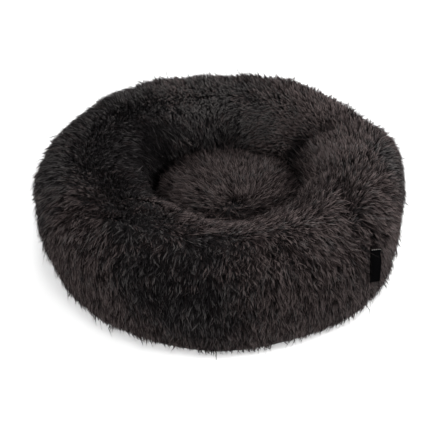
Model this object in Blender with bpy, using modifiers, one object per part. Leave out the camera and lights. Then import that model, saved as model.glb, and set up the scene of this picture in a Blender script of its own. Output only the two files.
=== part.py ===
"""A donut-shaped pet bed: a stuffed plush rim round a domed sleeping cushion, on a zipped base cloth.

Lengths are in metres, +Z is up, and the origin is the middle of the base, on the floor.
Bearings go round the bed from +X, and 270 degrees is the front.
"""

import math

import bmesh
import bpy
import numpy as np
from mathutils import Matrix, Vector

# The rim, over its pile.
OUTER_RADIUS = 0.291
OUTER_BULGE_HEIGHT = 0.125
RIM_HEIGHT = 0.198
WELL_RADIUS = 0.130
WELL_BULGE_HEIGHT = 0.110
BASE_SEAM_RADIUS = 0.246
WELL_FOOT_RADIUS = 0.148
SEAM_GAP = 0.0004

# Cloth layers.
PILE_THICKNESS = 0.014
LINER_THICKNESS = 0.001
LINER_EASE = 0.0016
CUSHION_LINER_EASE = 0.0028
FILLING_EASE = 0.0030
BASE_CLOTH_THICKNESS = 0.0012
TOUCH_GAP = 0.0003
BASE_SEAM_ALLOWANCE = 0.006
BAG_SETBACK = 0.003

# The sleeping cushion, over its pile.
CUSHION_EASE = 0.0018
CUSHION_CROWN_HEIGHT = 0.138
CUSHION_DIMPLE_DEPTH = 0.009
CUSHION_DIMPLE_RADIUS = 0.045
CUSHION_DIMPLE_X = 0.010
CUSHION_DIMPLE_Y = -0.018

# Filling slits in the two lining bags.
SLIT_LENGTH = 0.080
SLIT_WIDTH = 0.006

# The zip, which runs along X in a slot of the base.
SLOT_INSET = 0.041
SLOT_WIDTH = 0.016
HEM_HEIGHT = 0.0075
TAPE_WIDTH = 0.0125
TAPE_THICKNESS = 0.0005
COIL_WIDTH = 0.0022
COIL_THICKNESS = 0.0017
COIL_GAP = 0.0016
TAPE_EDGE_GAP = 0.0030
STOP_LENGTH = 0.0030
STOP_EASE = 0.0005
SLOT_END_EASE = 0.0010
CHANNEL_EASE = 0.0015

SLIDER_LENGTH = 0.0105
SLIDER_WIDTH = 0.0112
SLIDER_TAIL_WIDTH = 0.0092
PLATE_THICKNESS = 0.0012
PLATE_EASE = 0.0008
FLANGE_WIDTH = 0.0012
FLANGE_EASE = 0.0006
POST_WIDTH = 0.0008
POST_LENGTH = 0.0025
BRIDGE_WIDTH = 0.0018
BRIDGE_LENGTH = 0.0072
BRIDGE_LEG = 0.0012
BRIDGE_OPENING = 0.0020
BRIDGE_BAR = 0.0010

PULLER_LENGTH = 0.026
PULLER_WIDTH = 0.0060
PULLER_THICKNESS = 0.0012
PULLER_WINDOW_LENGTH = 0.0055
PULLER_WINDOW_WIDTH = 0.0026
PULLER_HOLE_DIAMETER = 0.0026
PULLER_END_WALL = 0.0022

# Labels.
SIDE_LABEL_WIDTH = 0.020
SIDE_LABEL_LENGTH = 0.054
SIDE_LABEL_THICKNESS = 0.0009
CARE_LABEL_WIDTH = 0.030
CARE_LABEL_LENGTH = 0.045
CARE_LABEL_THICKNESS = 0.0006

# One overrun serves every cut.
CUT_OVERRUN = 0.004

# How the stuffed rim's radius, height and well change round the bed, at even steps from +X.
outline_shares = (
    1.008, 1.047, 1.026, 1.007, 1.006, 0.986, 0.950, 0.964,
    0.991, 1.013, 0.994, 1.012, 1.034, 1.006, 1.003, 0.993,
    0.983, 0.975, 0.980, 0.969, 0.978, 1.016, 1.028, 0.996,
)  # fmt: skip
height_shares = (1.00, 0.94, 0.98, 0.98, 1.00, 1.01, 1.00, 0.97, 0.97, 0.97, 0.98, 0.99)
well_shares = (1.03, 1.04, 1.03, 1.01, 0.98, 0.93, 0.87, 0.86, 0.88, 0.885, 0.91, 0.98)

# How far the cushion fills the well, from the same bearings.
cushion_shares = (1.00, 0.97, 0.93, 0.92, 0.91, 0.91, 0.92, 0.95, 1.00, 1.00, 1.00, 1.00)

# Where the stuffing has slumped: bearing, place across the cover from the base seam to the well,
# half width round and half width across, and depth as a share of the tube's radius.
# A depth below zero is a bulge.
dent_shares = (
    (42, 0.64, 20, 0.17, 0.26),
    (26, 0.53, 13, 0.16, 0.12),
    (212, 0.52, 14, 0.14, 0.10),
    (228, 0.64, 12, 0.14, -0.07),
    (275, 0.62, 8, 0.12, 0.08),
    (155, 0.60, 20, 0.20, 0.05),
    (330, 0.48, 18, 0.14, -0.03),
)

# Where the labels' middles lie across the cover: 0 is the base seam, and 1 the outer bulge.
SIDE_LABEL_PLACE_share = 1.03
CARE_LABEL_PLACE_share = 0.42
LABEL_PROBE_share = 0.1

# How square the section's quarters are: 1 is an ellipse, and less is fuller.
FULLNESS_OUT_share = 0.90
FULLNESS_UP_share = 0.95
CUSHION_FULLNESS_share = 0.80
CREST_PLACE_share = 0.50

# Counts and angles.
COLUMNS = 48
QUARTER_ROWS = 6
FOOT_ROWS = 4
COVER_FOOT_ANGLE = 54
SEAM_BEARING = -37.5
CARE_LABEL_BEARING = 97.5
LABEL_COLUMNS = 4
LABEL_ROWS = 8

# Levels and insets that follow from the sizes above.
RIM_BAG_INSET = PILE_THICKNESS + LINER_EASE
CUSHION_BAG_INSET = PILE_THICKNESS + CUSHION_LINER_EASE
CLOTH_TOP = BASE_CLOTH_THICKNESS
COVER_FLOOR = CLOTH_TOP + TOUCH_GAP
BAG_FLOOR = CLOTH_TOP + 2 * TOUCH_GAP
SLOT_HALF_LENGTH = BASE_SEAM_RADIUS - SLOT_INSET
SLOT_HALF_WIDTH = SLOT_WIDTH / 2
TAPE_BOTTOM = HEM_HEIGHT + TOUCH_GAP
TAPE_TOP = TAPE_BOTTOM + TAPE_THICKNESS
COIL_TOP = TAPE_BOTTOM - TOUCH_GAP
COIL_BOTTOM = COIL_TOP - COIL_THICKNESS
LOWER_PLATE_TOP = COIL_BOTTOM - PLATE_EASE
LOWER_PLATE_BOTTOM = LOWER_PLATE_TOP - PLATE_THICKNESS
UPPER_PLATE_BOTTOM = TAPE_TOP + PLATE_EASE
UPPER_PLATE_TOP = UPPER_PLATE_BOTTOM + PLATE_THICKNESS
HINGE_HEIGHT = LOWER_PLATE_BOTTOM - BRIDGE_OPENING / 2
CHANNEL_TOP = UPPER_PLATE_TOP + CHANNEL_EASE
CHANNEL_HALF_WIDTH = TAPE_EDGE_GAP / 2 + TAPE_WIDTH + CHANNEL_EASE
# The slider goes as far each way as leaves its puller room to lie flat in the slot.
SLIDER_REST = -(SLOT_HALF_LENGTH - SLOT_END_EASE - PULLER_LENGTH)
STOP_MIDDLE = -SLIDER_REST + SLIDER_LENGTH / 2 + STOP_EASE + STOP_LENGTH / 2
COIL_START = -STOP_MIDDLE + STOP_LENGTH / 2 + TOUCH_GAP


def around(shares, bearing):
    """The share at a bearing, on a smooth curve through evenly spaced shares."""
    place = (bearing / 360 * len(shares)) % len(shares)
    i, t = int(place), place - int(place)
    a, b, c, d = (shares[(i + k) % len(shares)] for k in (-1, 0, 1, 2))
    return b + t / 2 * (c - a + t * (2 * a - 5 * b + 4 * c - d + t * (3 * b - 3 * c + d - a)))


def bump(distance):
    """1 at the middle, falling smoothly to 0 at a distance of 1."""
    return math.cos(min(abs(distance), 1) * math.pi / 2) ** 2


def slump(bearing, across):
    """How far the tube's section is drawn towards its middle, as a factor."""
    factor = 1.0
    for at, place_share, half_turn, half_across_share, depth_share in dent_shares:
        turn = (bearing - at + 180) % 360 - 180
        factor -= depth_share * bump(turn / half_turn) * bump((across - place_share) / half_across_share)
    return factor


def rim_section(bearing):
    """The section's outer radius, well radius, crest radius and crest height at a bearing."""
    outer = OUTER_RADIUS * around(outline_shares, bearing)
    well = WELL_RADIUS * around(well_shares, bearing)
    crest = well + (outer - well) * CREST_PLACE_share
    return outer, well, crest, RIM_HEIGHT * around(height_shares, bearing)


def eased(value, power):
    return abs(value) ** power


def rim_profile(bearing, quarter, turn, inset):
    """A point (radius, height) of the section, moved inwards by inset.

    Quarter 0 climbs from the base seam to the outer bulge, 1 from there to the crest, 2 from the
    crest to the well's bulge and 3 from there to the well's foot. turn goes from 0 to 1 in each.
    """
    outer, well, crest, height = rim_section(bearing)
    base = BASE_SEAM_RADIUS * around(outline_shares, bearing)
    foot = WELL_FOOT_RADIUS * around(well_shares, bearing)
    angle = turn * math.pi / 2
    rising, falling = math.sin(angle), math.cos(angle)
    if quarter == 0:
        radius = base + (outer - base - inset) * eased(rising, FULLNESS_OUT_share)
        drop = OUTER_BULGE_HEIGHT - COVER_FLOOR - inset
        level = OUTER_BULGE_HEIGHT - drop * eased(falling, FULLNESS_UP_share)
    elif quarter == 1:
        radius = crest + (outer - crest - inset) * eased(falling, FULLNESS_OUT_share)
        level = OUTER_BULGE_HEIGHT + (height - OUTER_BULGE_HEIGHT - inset) * eased(rising, FULLNESS_UP_share)
    elif quarter == 2:
        radius = crest - (crest - well - inset) * eased(rising, FULLNESS_OUT_share)
        level = WELL_BULGE_HEIGHT + (height - WELL_BULGE_HEIGHT - inset) * eased(falling, FULLNESS_UP_share)
    else:
        radius = foot + inset - (foot - well) * eased(falling, FULLNESS_OUT_share)
        level = WELL_BULGE_HEIGHT - (WELL_BULGE_HEIGHT - BAG_FLOOR) * eased(rising, FULLNESS_UP_share)
    middle_height = (OUTER_BULGE_HEIGHT + WELL_BULGE_HEIGHT) / 2
    factor = slump(bearing, (quarter + turn) / 4)
    return crest + (radius - crest) * factor, middle_height + (level - middle_height) * factor


def polar(bearing, radius, level):
    """A point of the bed from its bearing, radius and height."""
    angle = math.radians(bearing)
    return Vector((radius * math.cos(angle) - plan_middle.x, radius * math.sin(angle) - plan_middle.y, level))


def outline_middle():
    """The middle of the rim's box in plan, which the whole bed is moved by."""
    points = []
    for k in range(COLUMNS):
        bearing = SEAM_BEARING + 360 * k / COLUMNS
        angle = math.radians(bearing)
        for quarter, turn in cover_stations():
            radius, _ = rim_profile(bearing, quarter, turn, 0.0)
            points.append((radius * math.cos(angle), radius * math.sin(angle)))
    points = np.array(points)
    middle = (points.max(axis=0) + points.min(axis=0)) / 2
    return Vector((middle[0], middle[1], 0))


def cover_stations(step=1):
    """Places across the rim's cover, from the base seam to its lower edge in the well."""
    stations = [(q, k / QUARTER_ROWS) for q in (0, 1, 2) for k in range(0, QUARTER_ROWS, step)]
    foot = COVER_FOOT_ANGLE / 90
    return stations + [(3, foot * k / FOOT_ROWS) for k in range(0, FOOT_ROWS + 1, step)]


def new_object(name, mesh, material, collection):
    made = bpy.data.objects.new(name, mesh)
    collection.objects.link(made)
    if material:
        mesh.materials.append(material)
    return made


def wrapped_surface(name, columns, rows, place, closed_round, closed_across):
    """A mesh from a flat grid whose points are moved by place(column, row).

    A grid that closes on itself is welded there, and ends that stay open are filled.
    """
    mesh = bpy.data.meshes.new(name)
    shape = bmesh.new()
    bmesh.ops.create_grid(shape, x_segments=columns, y_segments=rows, size=1)
    for vertex in shape.verts:
        column = round((vertex.co.x + 1) / 2 * columns)
        row = round((vertex.co.y + 1) / 2 * rows)
        wrapped_column = column % columns if closed_round else column
        wrapped_row = row % rows if closed_across else row
        vertex.co = place(wrapped_column, wrapped_row)
    bmesh.ops.remove_doubles(shape, verts=shape.verts, dist=TOUCH_GAP / 100)
    open_edges = [edge for edge in shape.edges if edge.is_boundary]
    if open_edges and closed_across:
        bmesh.ops.holes_fill(shape, edges=open_edges, sides=0)
    bmesh.ops.recalc_face_normals(shape, faces=shape.faces)
    shape.to_mesh(mesh)
    shape.free()
    mesh.shade_smooth()
    mesh.set_sharp_from_angle(angle=math.radians(50))
    return mesh


def boolean(target, cutter, operation="DIFFERENCE"):
    modifier = target.modifiers.new(cutter.name, "BOOLEAN")
    modifier.operation = operation
    modifier.solver = "EXACT"
    modifier.object = cutter


def box(name, low, high, collection, material=None):
    """A box between two corners."""
    low, high = Vector(low), Vector(high)
    mesh = bpy.data.meshes.new(name)
    shape = bmesh.new()
    size = Matrix.Diagonal((*(high - low), 1))
    bmesh.ops.create_cube(shape, size=1, matrix=Matrix.Translation((low + high) / 2) @ size)
    shape.to_mesh(mesh)
    shape.free()
    return new_object(name, mesh, material, collection)


def as_cutter(made):
    made.hide_render = True
    made.display_type = "WIRE"
    return made


def finish(name, colour, roughness, metallic=0.0):
    """A plain Principled material."""
    material = bpy.data.materials.new(name)
    material.use_nodes = True
    shader = material.node_tree.nodes["Principled BSDF"]
    shader.inputs["Base Color"].default_value = (*colour, 1)
    shader.inputs["Roughness"].default_value = roughness
    shader.inputs["Metallic"].default_value = metallic
    material.diffuse_color = (*colour, 1)
    return material


def rim_cover(name, first_column, material):
    """Half of the plush tube: a thick C-shaped shell that is open to the base."""
    half = COLUMNS // 2
    stations = cover_stations()
    loop = [(s, 0.0) for s in stations] + [(s, PILE_THICKNESS) for s in reversed(stations)]

    def place(column, row):
        (quarter, turn), inset = loop[row]
        bearing = SEAM_BEARING + 360 * (first_column + column) / COLUMNS
        point = polar(bearing, *rim_profile(bearing, quarter, turn, inset))
        # Each half stops short of the seam plane.
        tangent = Vector((-math.sin(math.radians(bearing)), math.cos(math.radians(bearing)), 0))
        if column == 0:
            point += tangent * SEAM_GAP / 2
        elif column == half:
            point -= tangent * SEAM_GAP / 2
        return point

    mesh = wrapped_surface(name, half, len(loop), place, False, True)
    return new_object(name, mesh, material, bed)


def bag_section(bearing, inset, floor):
    """The rim bag's closed section, with half as many points as the cover's."""
    points = [rim_profile(bearing, quarter, turn, inset) for quarter, turn in cover_stations(2)]
    # The bag stands back from the cover's edge at the base seam, then follows the base cloth.
    first = points[0]
    setback = BAG_SETBACK + inset - RIM_BAG_INSET
    points[0] = (first[0] - setback / 2, first[1])
    foot = rim_profile(bearing, 3, 1.0, inset)
    corner = first[0] - setback
    points.append((foot[0], floor))
    points.append(((foot[0] + corner) / 2, floor))
    points.append((corner, floor))
    return points


def rim_form(name, inset, floor, material, collection):
    """A solid ring that fills the rim's cover, inset from its pile surface."""
    sections = {}

    def place(column, row):
        bearing = SEAM_BEARING + 360 * column / COLUMNS
        if column not in sections:
            sections[column] = bag_section(bearing, inset, floor)
        return polar(bearing, *sections[column][row])

    rows = len(bag_section(0, inset, floor))
    mesh = wrapped_surface(name, COLUMNS, rows, place, True, True)
    return new_object(name, mesh, material, collection)


def cushion_dimple(point):
    """How far the cushion's top is drawn down at a point."""
    away = math.hypot(point.x - CUSHION_DIMPLE_X, point.y - CUSHION_DIMPLE_Y)
    return CUSHION_DIMPLE_DEPTH * bump(away / (2 * CUSHION_DIMPLE_RADIUS))


def cushion_profile(bearing, stage, turn, inset):
    """A point (radius, height) of the cushion: stage 0 climbs its side, and stage 1 its dome.

    The cushion is sewn to the rim at its foot, and leans away from it above.
    """
    foot = 1 - COVER_FOOT_ANGLE / 90
    lean = 1 if stage == 1 else max(turn - foot, 0) / (1 - foot)
    free = CUSHION_EASE - TOUCH_GAP + WELL_RADIUS * (1 - around(cushion_shares, bearing))
    side = inset + TOUCH_GAP + free * lean
    if stage == 0:
        radius, level = rim_profile(bearing, 3, 1 - turn, 0.0)
        return radius - side, level
    edge, level = rim_profile(bearing, 3, 0.0, 0.0)
    outwards = math.cos(turn * math.pi / 2)
    rising = math.sqrt(1 - min(outwards ** (1 / CUSHION_FULLNESS_share), 1) ** 2)
    rise = CUSHION_CROWN_HEIGHT - inset - level
    return (edge - side) * outwards, level + rise * eased(rising, FULLNESS_UP_share)


def cushion_stations():
    foot = 1 - COVER_FOOT_ANGLE / 90
    sides = [(0, foot + (1 - foot) * k / FOOT_ROWS) for k in range(FOOT_ROWS)]
    return sides + [(1, k / QUARTER_ROWS) for k in range(QUARTER_ROWS + 1)]


def cushion_point(bearing, stage, turn, inset):
    point = polar(bearing, *cushion_profile(bearing, stage, turn, inset))
    if stage == 1:
        point.z -= cushion_dimple(point) * turn
    return point


def cushion_cover(material):
    """The plush dome of the cushion, open to the base."""
    stations = cushion_stations()
    loop = [(s, 0.0) for s in stations] + [(s, PILE_THICKNESS) for s in reversed(stations)]

    def place(column, row):
        (stage, turn), inset = loop[row]
        return cushion_point(SEAM_BEARING + 360 * column / COLUMNS, stage, turn, inset)

    mesh = wrapped_surface("cushion_cover", COLUMNS, len(loop), place, True, True)
    return new_object("cushion_cover", mesh, material, bed)


def cushion_form(name, inset, floor, material, collection):
    """A solid pillow that fills the cushion's cover, inset from its pile surface."""
    columns = COLUMNS // 2
    stations = cushion_stations()

    def place(column, row):
        bearing = SEAM_BEARING + 360 * column / columns
        if row == 0:
            return polar(bearing, 0.0, floor)
        if row == 1:
            radius, _ = cushion_profile(bearing, 0, 0.0, inset)
            return polar(bearing, radius, floor)
        return cushion_point(bearing, *stations[row - 2], inset)

    mesh = wrapped_surface(name, columns, len(stations) + 1, place, True, False)
    return new_object(name, mesh, material, collection)


def lining_bag(name, form, outer_inset, slit_low, slit_high, material):
    """A thin bag in the shape of a form, with the zip's channel pressed in and a filling slit."""
    bag = form(name, outer_inset, BAG_FLOOR, material, bed)
    boolean(bag, channel_cutter(name + "_channel", 0.0))
    inner_inset = outer_inset + LINER_THICKNESS
    inner_floor = BAG_FLOOR + LINER_THICKNESS
    hollow = as_cutter(form(name + "_hollow", inner_inset, inner_floor, None, cutters))
    boolean(hollow, channel_cutter(name + "_hollow_channel", LINER_THICKNESS))
    boolean(bag, hollow)
    boolean(bag, as_cutter(box(name + "_slit", slit_low, slit_high, cutters)))
    return bag


def filling(name, form, bag_inset, material):
    """The fibre that fills a lining bag."""
    ease = LINER_THICKNESS + FILLING_EASE
    made = form(name, bag_inset + ease, BAG_FLOOR + LINER_THICKNESS + TOUCH_GAP, material, bed)
    boolean(made, channel_cutter(name + "_channel", LINER_THICKNESS + TOUCH_GAP))
    return made


def channel_cutter(name, wall):
    """The space over the zip that the stuffed bags leave free, widened by a wall."""
    reach = OUTER_RADIUS + CUT_OVERRUN
    half = CHANNEL_HALF_WIDTH + wall
    return as_cutter(box(name, (-reach, -half, -CUT_OVERRUN), (reach, half, CHANNEL_TOP + wall), cutters))


def base_panel(name, side, material):
    """Half of the base cloth, with the hem that is turned up along the zip."""
    edge = BASE_SEAM_ALLOWANCE
    mesh = bpy.data.meshes.new(name)
    shape = bmesh.new()
    half = COLUMNS // 2
    points = []
    for k in range(half + 1):
        bearing = 180 * k / half
        radius = BASE_SEAM_RADIUS * around(outline_shares, bearing * side) + edge
        points.append(polar(bearing * side, radius, 0.0))
    points = [p for p in points if p.y * side > SLOT_WIDTH]
    ends = [Vector((p.x, side * SEAM_GAP / 2, 0)) for p in (points[-1], points[0])]
    slot = [
        Vector((-SLOT_HALF_LENGTH, side * SEAM_GAP / 2, 0)),
        Vector((-SLOT_HALF_LENGTH, side * SLOT_HALF_WIDTH, 0)),
        Vector((SLOT_HALF_LENGTH, side * SLOT_HALF_WIDTH, 0)),
        Vector((SLOT_HALF_LENGTH, side * SEAM_GAP / 2, 0)),
    ]
    outline = points + [ends[0]] + slot + [ends[1]]
    face = shape.faces.new([shape.verts.new(p) for p in outline])
    grown = bmesh.ops.extrude_face_region(shape, geom=[face])
    raised = [v for v in grown["geom"] if isinstance(v, bmesh.types.BMVert)]
    bmesh.ops.translate(shape, verts=raised, vec=(0, 0, BASE_CLOTH_THICKNESS))
    bmesh.ops.recalc_face_normals(shape, faces=shape.faces)
    shape.to_mesh(mesh)
    shape.free()
    panel = new_object(name, mesh, material, bed)
    near = side * SLOT_HALF_WIDTH
    far = side * (SLOT_HALF_WIDTH + BASE_CLOTH_THICKNESS)
    hem = box(
        name + "_hem",
        (-SLOT_HALF_LENGTH, min(near, far), 0),
        (SLOT_HALF_LENGTH, max(near, far), HEM_HEIGHT),
        cutters,
    )
    boolean(panel, as_cutter(hem), "UNION")
    return panel


def rounded(made, width, segments=2):
    modifier = made.modifiers.new("rounding", "BEVEL")
    modifier.width = width
    modifier.segments = segments
    modifier.limit_method = "ANGLE"
    return made


def side_box(name, x_range, y_range, z_range, side, material):
    """A box on one side of the zip, whose y_range is measured from the middle."""
    ys = sorted(side * y for y in y_range)
    return box(name, (x_range[0], ys[0], z_range[0]), (x_range[1], ys[1], z_range[1]), bed, material)


def zip_chain(side, word, tape, coil, metal):
    """One side of the zip: its tape, its row of coil and its top stop."""
    tape_near = TAPE_EDGE_GAP / 2
    long = (-SLOT_HALF_LENGTH, SLOT_HALF_LENGTH)
    wide = (tape_near, tape_near + TAPE_WIDTH)
    side_box("zip_tape_" + word, long, wide, (TAPE_BOTTOM, TAPE_TOP), side, tape)
    near = COIL_GAP / 2
    across = (near, near + COIL_WIDTH)
    high = (COIL_BOTTOM, COIL_TOP)
    row = side_box("zip_coil_" + word, (COIL_START, -COIL_START), across, high, side, coil)
    rounded(row, COIL_THICKNESS / 4)
    middle = -STOP_MIDDLE
    stop_x = (middle - STOP_LENGTH / 2, middle + STOP_LENGTH / 2)
    stop = side_box("zip_top_stop_" + word, stop_x, across, high, side, metal)
    rounded(stop, COIL_THICKNESS / 4)


def zip_bottom_stop(metal):
    """The clamp across both rows at the end where the zip opens to."""
    half = COIL_GAP / 2 + COIL_WIDTH
    low = (STOP_MIDDLE - STOP_LENGTH / 2, -half, COIL_BOTTOM)
    high = (STOP_MIDDLE + STOP_LENGTH / 2, half, COIL_TOP)
    rounded(box("zip_bottom_stop", low, high, bed, metal), COIL_THICKNESS / 4)


def plate(name, bottom, thickness, collection):
    """A slider plate: wide over the mouth that the rows enter, and narrow at the tail."""
    mesh = bpy.data.meshes.new(name)
    shape = bmesh.new()
    half, wide, narrow = SLIDER_LENGTH / 2, SLIDER_WIDTH / 2, SLIDER_TAIL_WIDTH / 2
    outline = [(-half, -wide), (0, -wide), (half, -narrow), (half, narrow), (0, wide), (-half, wide)]
    face = shape.faces.new([shape.verts.new((x, y, bottom)) for x, y in outline])
    grown = bmesh.ops.extrude_face_region(shape, geom=[face])
    raised = [v for v in grown["geom"] if isinstance(v, bmesh.types.BMVert)]
    bmesh.ops.translate(shape, verts=raised, vec=(0, 0, thickness))
    bmesh.ops.recalc_face_normals(shape, faces=shape.faces)
    shape.to_mesh(mesh)
    shape.free()
    return new_object(name, mesh, None, collection)


def joined(target, parts):
    for part in parts:
        boolean(target, as_cutter(part), "UNION")


def zip_slider(metal):
    """Two plates on a post, flanges that hold the rows in, and a bridge for the puller."""
    slider = plate("zip_slider", LOWER_PLATE_BOTTOM, PLATE_THICKNESS, bed)
    slider.data.materials.append(metal)
    half = SLIDER_LENGTH / 2
    sink = PLATE_THICKNESS / 2
    parts = [plate("slider_upper_plate", UPPER_PLATE_BOTTOM, PLATE_THICKNESS, cutters)]
    mouth = -half + POST_LENGTH / 2
    post_low = (mouth - POST_LENGTH / 4, -POST_WIDTH / 2, LOWER_PLATE_TOP - sink)
    post_high = (mouth + POST_LENGTH * 3 / 4, POST_WIDTH / 2, UPPER_PLATE_BOTTOM + sink)
    parts.append(box("slider_post", post_low, post_high, cutters))
    inner = SLIDER_TAIL_WIDTH / 2 - FLANGE_WIDTH
    for side in (-1, 1):
        ys = sorted((side * inner, side * (inner + FLANGE_WIDTH)))
        low = (-half + sink, ys[0], LOWER_PLATE_TOP - sink)
        high = (half - sink, ys[1], TAPE_BOTTOM - FLANGE_EASE)
        parts.append(box(f"slider_lower_flange_{side}", low, high, cutters))
        low = (-half + sink, ys[0], TAPE_TOP + FLANGE_EASE)
        high = (half - sink, ys[1], UPPER_PLATE_BOTTOM + sink)
        parts.append(box(f"slider_upper_flange_{side}", low, high, cutters))
    reach, wide = BRIDGE_LENGTH / 2, BRIDGE_WIDTH / 2
    bar_top = LOWER_PLATE_BOTTOM - BRIDGE_OPENING
    bar_bottom = bar_top - BRIDGE_BAR
    parts.append(box("slider_bridge_bar", (-reach, -wide, bar_bottom), (reach, wide, bar_top), cutters))
    for side in (-1, 1):
        xs = sorted((side * reach, side * (reach - BRIDGE_LEG)))
        low = (xs[0], -wide, bar_top - BRIDGE_BAR / 2)
        high = (xs[1], wide, LOWER_PLATE_BOTTOM + sink)
        parts.append(box(f"slider_bridge_leg_{side}", low, high, cutters))
    joined(slider, parts)
    for part in [slider] + parts:
        part.location.x = SLIDER_REST
    return slider


def zip_puller(metal):
    """A flat tab whose end bar turns inside the slider's bridge. Its origin is on that axis."""
    wide, thick = PULLER_WIDTH / 2, PULLER_THICKNESS / 2
    puller = box("zip_puller", (0, -wide, -thick), (PULLER_LENGTH, wide, thick), bed, metal)
    window_start = thick + TOUCH_GAP / 2
    window_end = window_start + PULLER_WINDOW_LENGTH
    narrow = PULLER_WINDOW_WIDTH / 2
    over = thick + CUT_OVERRUN
    window = box("puller_window", (window_start, -narrow, -over), (window_end, narrow, over), cutters)
    bar = turned_bar("puller_bar", thick, PULLER_WIDTH, "Y", cutters)
    hole = turned_bar("puller_hole", PULLER_HOLE_DIAMETER / 2, 2 * over, "Z", cutters)
    hole.location.x = PULLER_LENGTH - PULLER_END_WALL - PULLER_HOLE_DIAMETER / 2
    boolean(puller, as_cutter(window))
    boolean(puller, as_cutter(bar), "UNION")
    boolean(puller, as_cutter(hole))
    axis = bpy.data.objects.new("puller_axis", None)
    cutters.objects.link(axis)
    axis.location = (SLIDER_REST, 0, HINGE_HEIGHT)
    for part in (puller, window, bar, hole):
        part.parent = axis
    return puller


def turned_bar(name, radius, length, along, collection):
    """A short round bar about its own middle."""
    mesh = bpy.data.meshes.new(name)
    shape = bmesh.new()
    turn = Matrix.Rotation(math.pi / 2, 4, "X") if along == "Y" else Matrix.Identity(4)
    bmesh.ops.create_cone(
        shape, cap_ends=True, segments=16, radius1=radius, radius2=radius, depth=length, matrix=turn
    )
    shape.to_mesh(mesh)
    shape.free()
    mesh.shade_smooth()
    mesh.set_sharp_from_angle(angle=math.radians(50))
    return new_object(name, mesh, None, collection)


def across_point(bearing, across, lift):
    """A point (radius, height) over the cover, from 0 at the base seam to 4 at the well's foot."""
    quarter = min(int(across), 3)
    return Vector(rim_profile(bearing, quarter, across - quarter, -lift))


def half_turn_of(bearing, width):
    """Half the angle that a width takes on the outer bulge."""
    outer, _, _, _ = rim_section(bearing)
    return math.degrees(width / 2 / outer)


def laid_label(name, bearing, middle, length, width, thickness, material):
    """A woven label that lies on the pile, its middle at a place across the cover."""
    columns, rows = LABEL_COLUMNS, LABEL_ROWS
    lift = TOUCH_GAP * 2 + thickness
    half_turn = half_turn_of(bearing, width)
    low = across_point(bearing, middle - LABEL_PROBE_share, lift)
    high = across_point(bearing, middle + LABEL_PROBE_share, lift)
    half = length * LABEL_PROBE_share / (high - low).length

    def place(column, row):
        at = bearing + half_turn * (2 * column / columns - 1)
        across = middle + half * (2 * row / rows - 1)
        return polar(at, *across_point(at, across, lift))

    mesh = wrapped_surface(name, columns, rows, place, False, False)
    made = new_object(name, mesh, material, bed)
    wall = made.modifiers.new("thickness", "SOLIDIFY")
    wall.thickness = thickness
    wall.offset = -1
    return made


for old in list(bpy.data.objects):
    bpy.data.objects.remove(old)
bed = bpy.data.collections.new("donut_pet_bed")
cutters = bpy.data.collections.new("cutters")
bpy.context.scene.collection.children.link(bed)
bpy.context.scene.collection.children.link(cutters)

plan_middle = Vector((0, 0, 0))
plan_middle = outline_middle()

plush = finish("dark_plush", (0.026, 0.021, 0.021), 0.9)
lining = finish("lining_cloth", (0.72, 0.71, 0.69), 0.8)
fibre = finish("white_fibre", (0.88, 0.88, 0.86), 0.95)
base_cloth = finish("base_cloth", (0.010, 0.010, 0.011), 0.75)
zip_tape = finish("zip_tape", (0.012, 0.012, 0.013), 0.8)
zip_coil = finish("zip_coil", (0.015, 0.015, 0.016), 0.4)
zip_metal = finish("zip_metal", (0.09, 0.09, 0.10), 0.35, 0.9)
black_satin = finish("black_satin", (0.006, 0.006, 0.007), 0.45)
white_satin = finish("white_satin", (0.75, 0.75, 0.73), 0.5)

slit_half = SLIT_WIDTH / 2
slit_y = (BASE_SEAM_RADIUS + WELL_FOOT_RADIUS) / 2
cushion_slit_y = WELL_FOOT_RADIUS / 2
slit_top = BAG_FLOOR + LINER_THICKNESS + TOUCH_GAP

rim_cover("rim_cover_front", COLUMNS // 2, plush)
rim_cover("rim_cover_back", 0, plush)
lining_bag(
    "rim_liner",
    rim_form,
    RIM_BAG_INSET,
    (-SLIT_LENGTH / 2, slit_y - slit_half, -CUT_OVERRUN),
    (SLIT_LENGTH / 2, slit_y + slit_half, slit_top),
    lining,
)
filling("rim_filling", rim_form, RIM_BAG_INSET, fibre)
cushion_cover(plush)
lining_bag(
    "cushion_liner",
    cushion_form,
    CUSHION_BAG_INSET,
    (-SLIT_LENGTH / 2, cushion_slit_y - slit_half, -CUT_OVERRUN),
    (SLIT_LENGTH / 2, cushion_slit_y + slit_half, slit_top),
    lining,
)
filling("cushion_filling", cushion_form, CUSHION_BAG_INSET, fibre)
base_panel("base_panel_front", -1, base_cloth)
base_panel("base_panel_back", 1, base_cloth)
zip_chain(-1, "front", zip_tape, zip_coil, zip_metal)
zip_chain(1, "back", zip_tape, zip_coil, zip_metal)
zip_bottom_stop(zip_metal)
zip_slider(zip_metal)
zip_puller(zip_metal)
# The side label hangs beside the seam that holds its edge.
laid_label(
    "side_label",
    SEAM_BEARING - half_turn_of(SEAM_BEARING, SIDE_LABEL_WIDTH),
    SIDE_LABEL_PLACE_share,
    SIDE_LABEL_LENGTH,
    SIDE_LABEL_WIDTH,
    SIDE_LABEL_THICKNESS,
    black_satin,
)
laid_label(
    "care_label",
    CARE_LABEL_BEARING,
    CARE_LABEL_PLACE_share,
    CARE_LABEL_LENGTH,
    CARE_LABEL_WIDTH,
    CARE_LABEL_THICKNESS,
    white_satin,
)
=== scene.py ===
"""A donut pet bed in long-pile plush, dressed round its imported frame.

Lengths are in metres, in the frame of the bed: +Z is up, and bearings go round it from +X.
"""

import math

import bpy
import numpy as np
from bpy.props import FloatProperty, FloatVectorProperty, IntProperty, PointerProperty
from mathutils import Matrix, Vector
from mathutils.bvhtree import BVHTree


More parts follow.
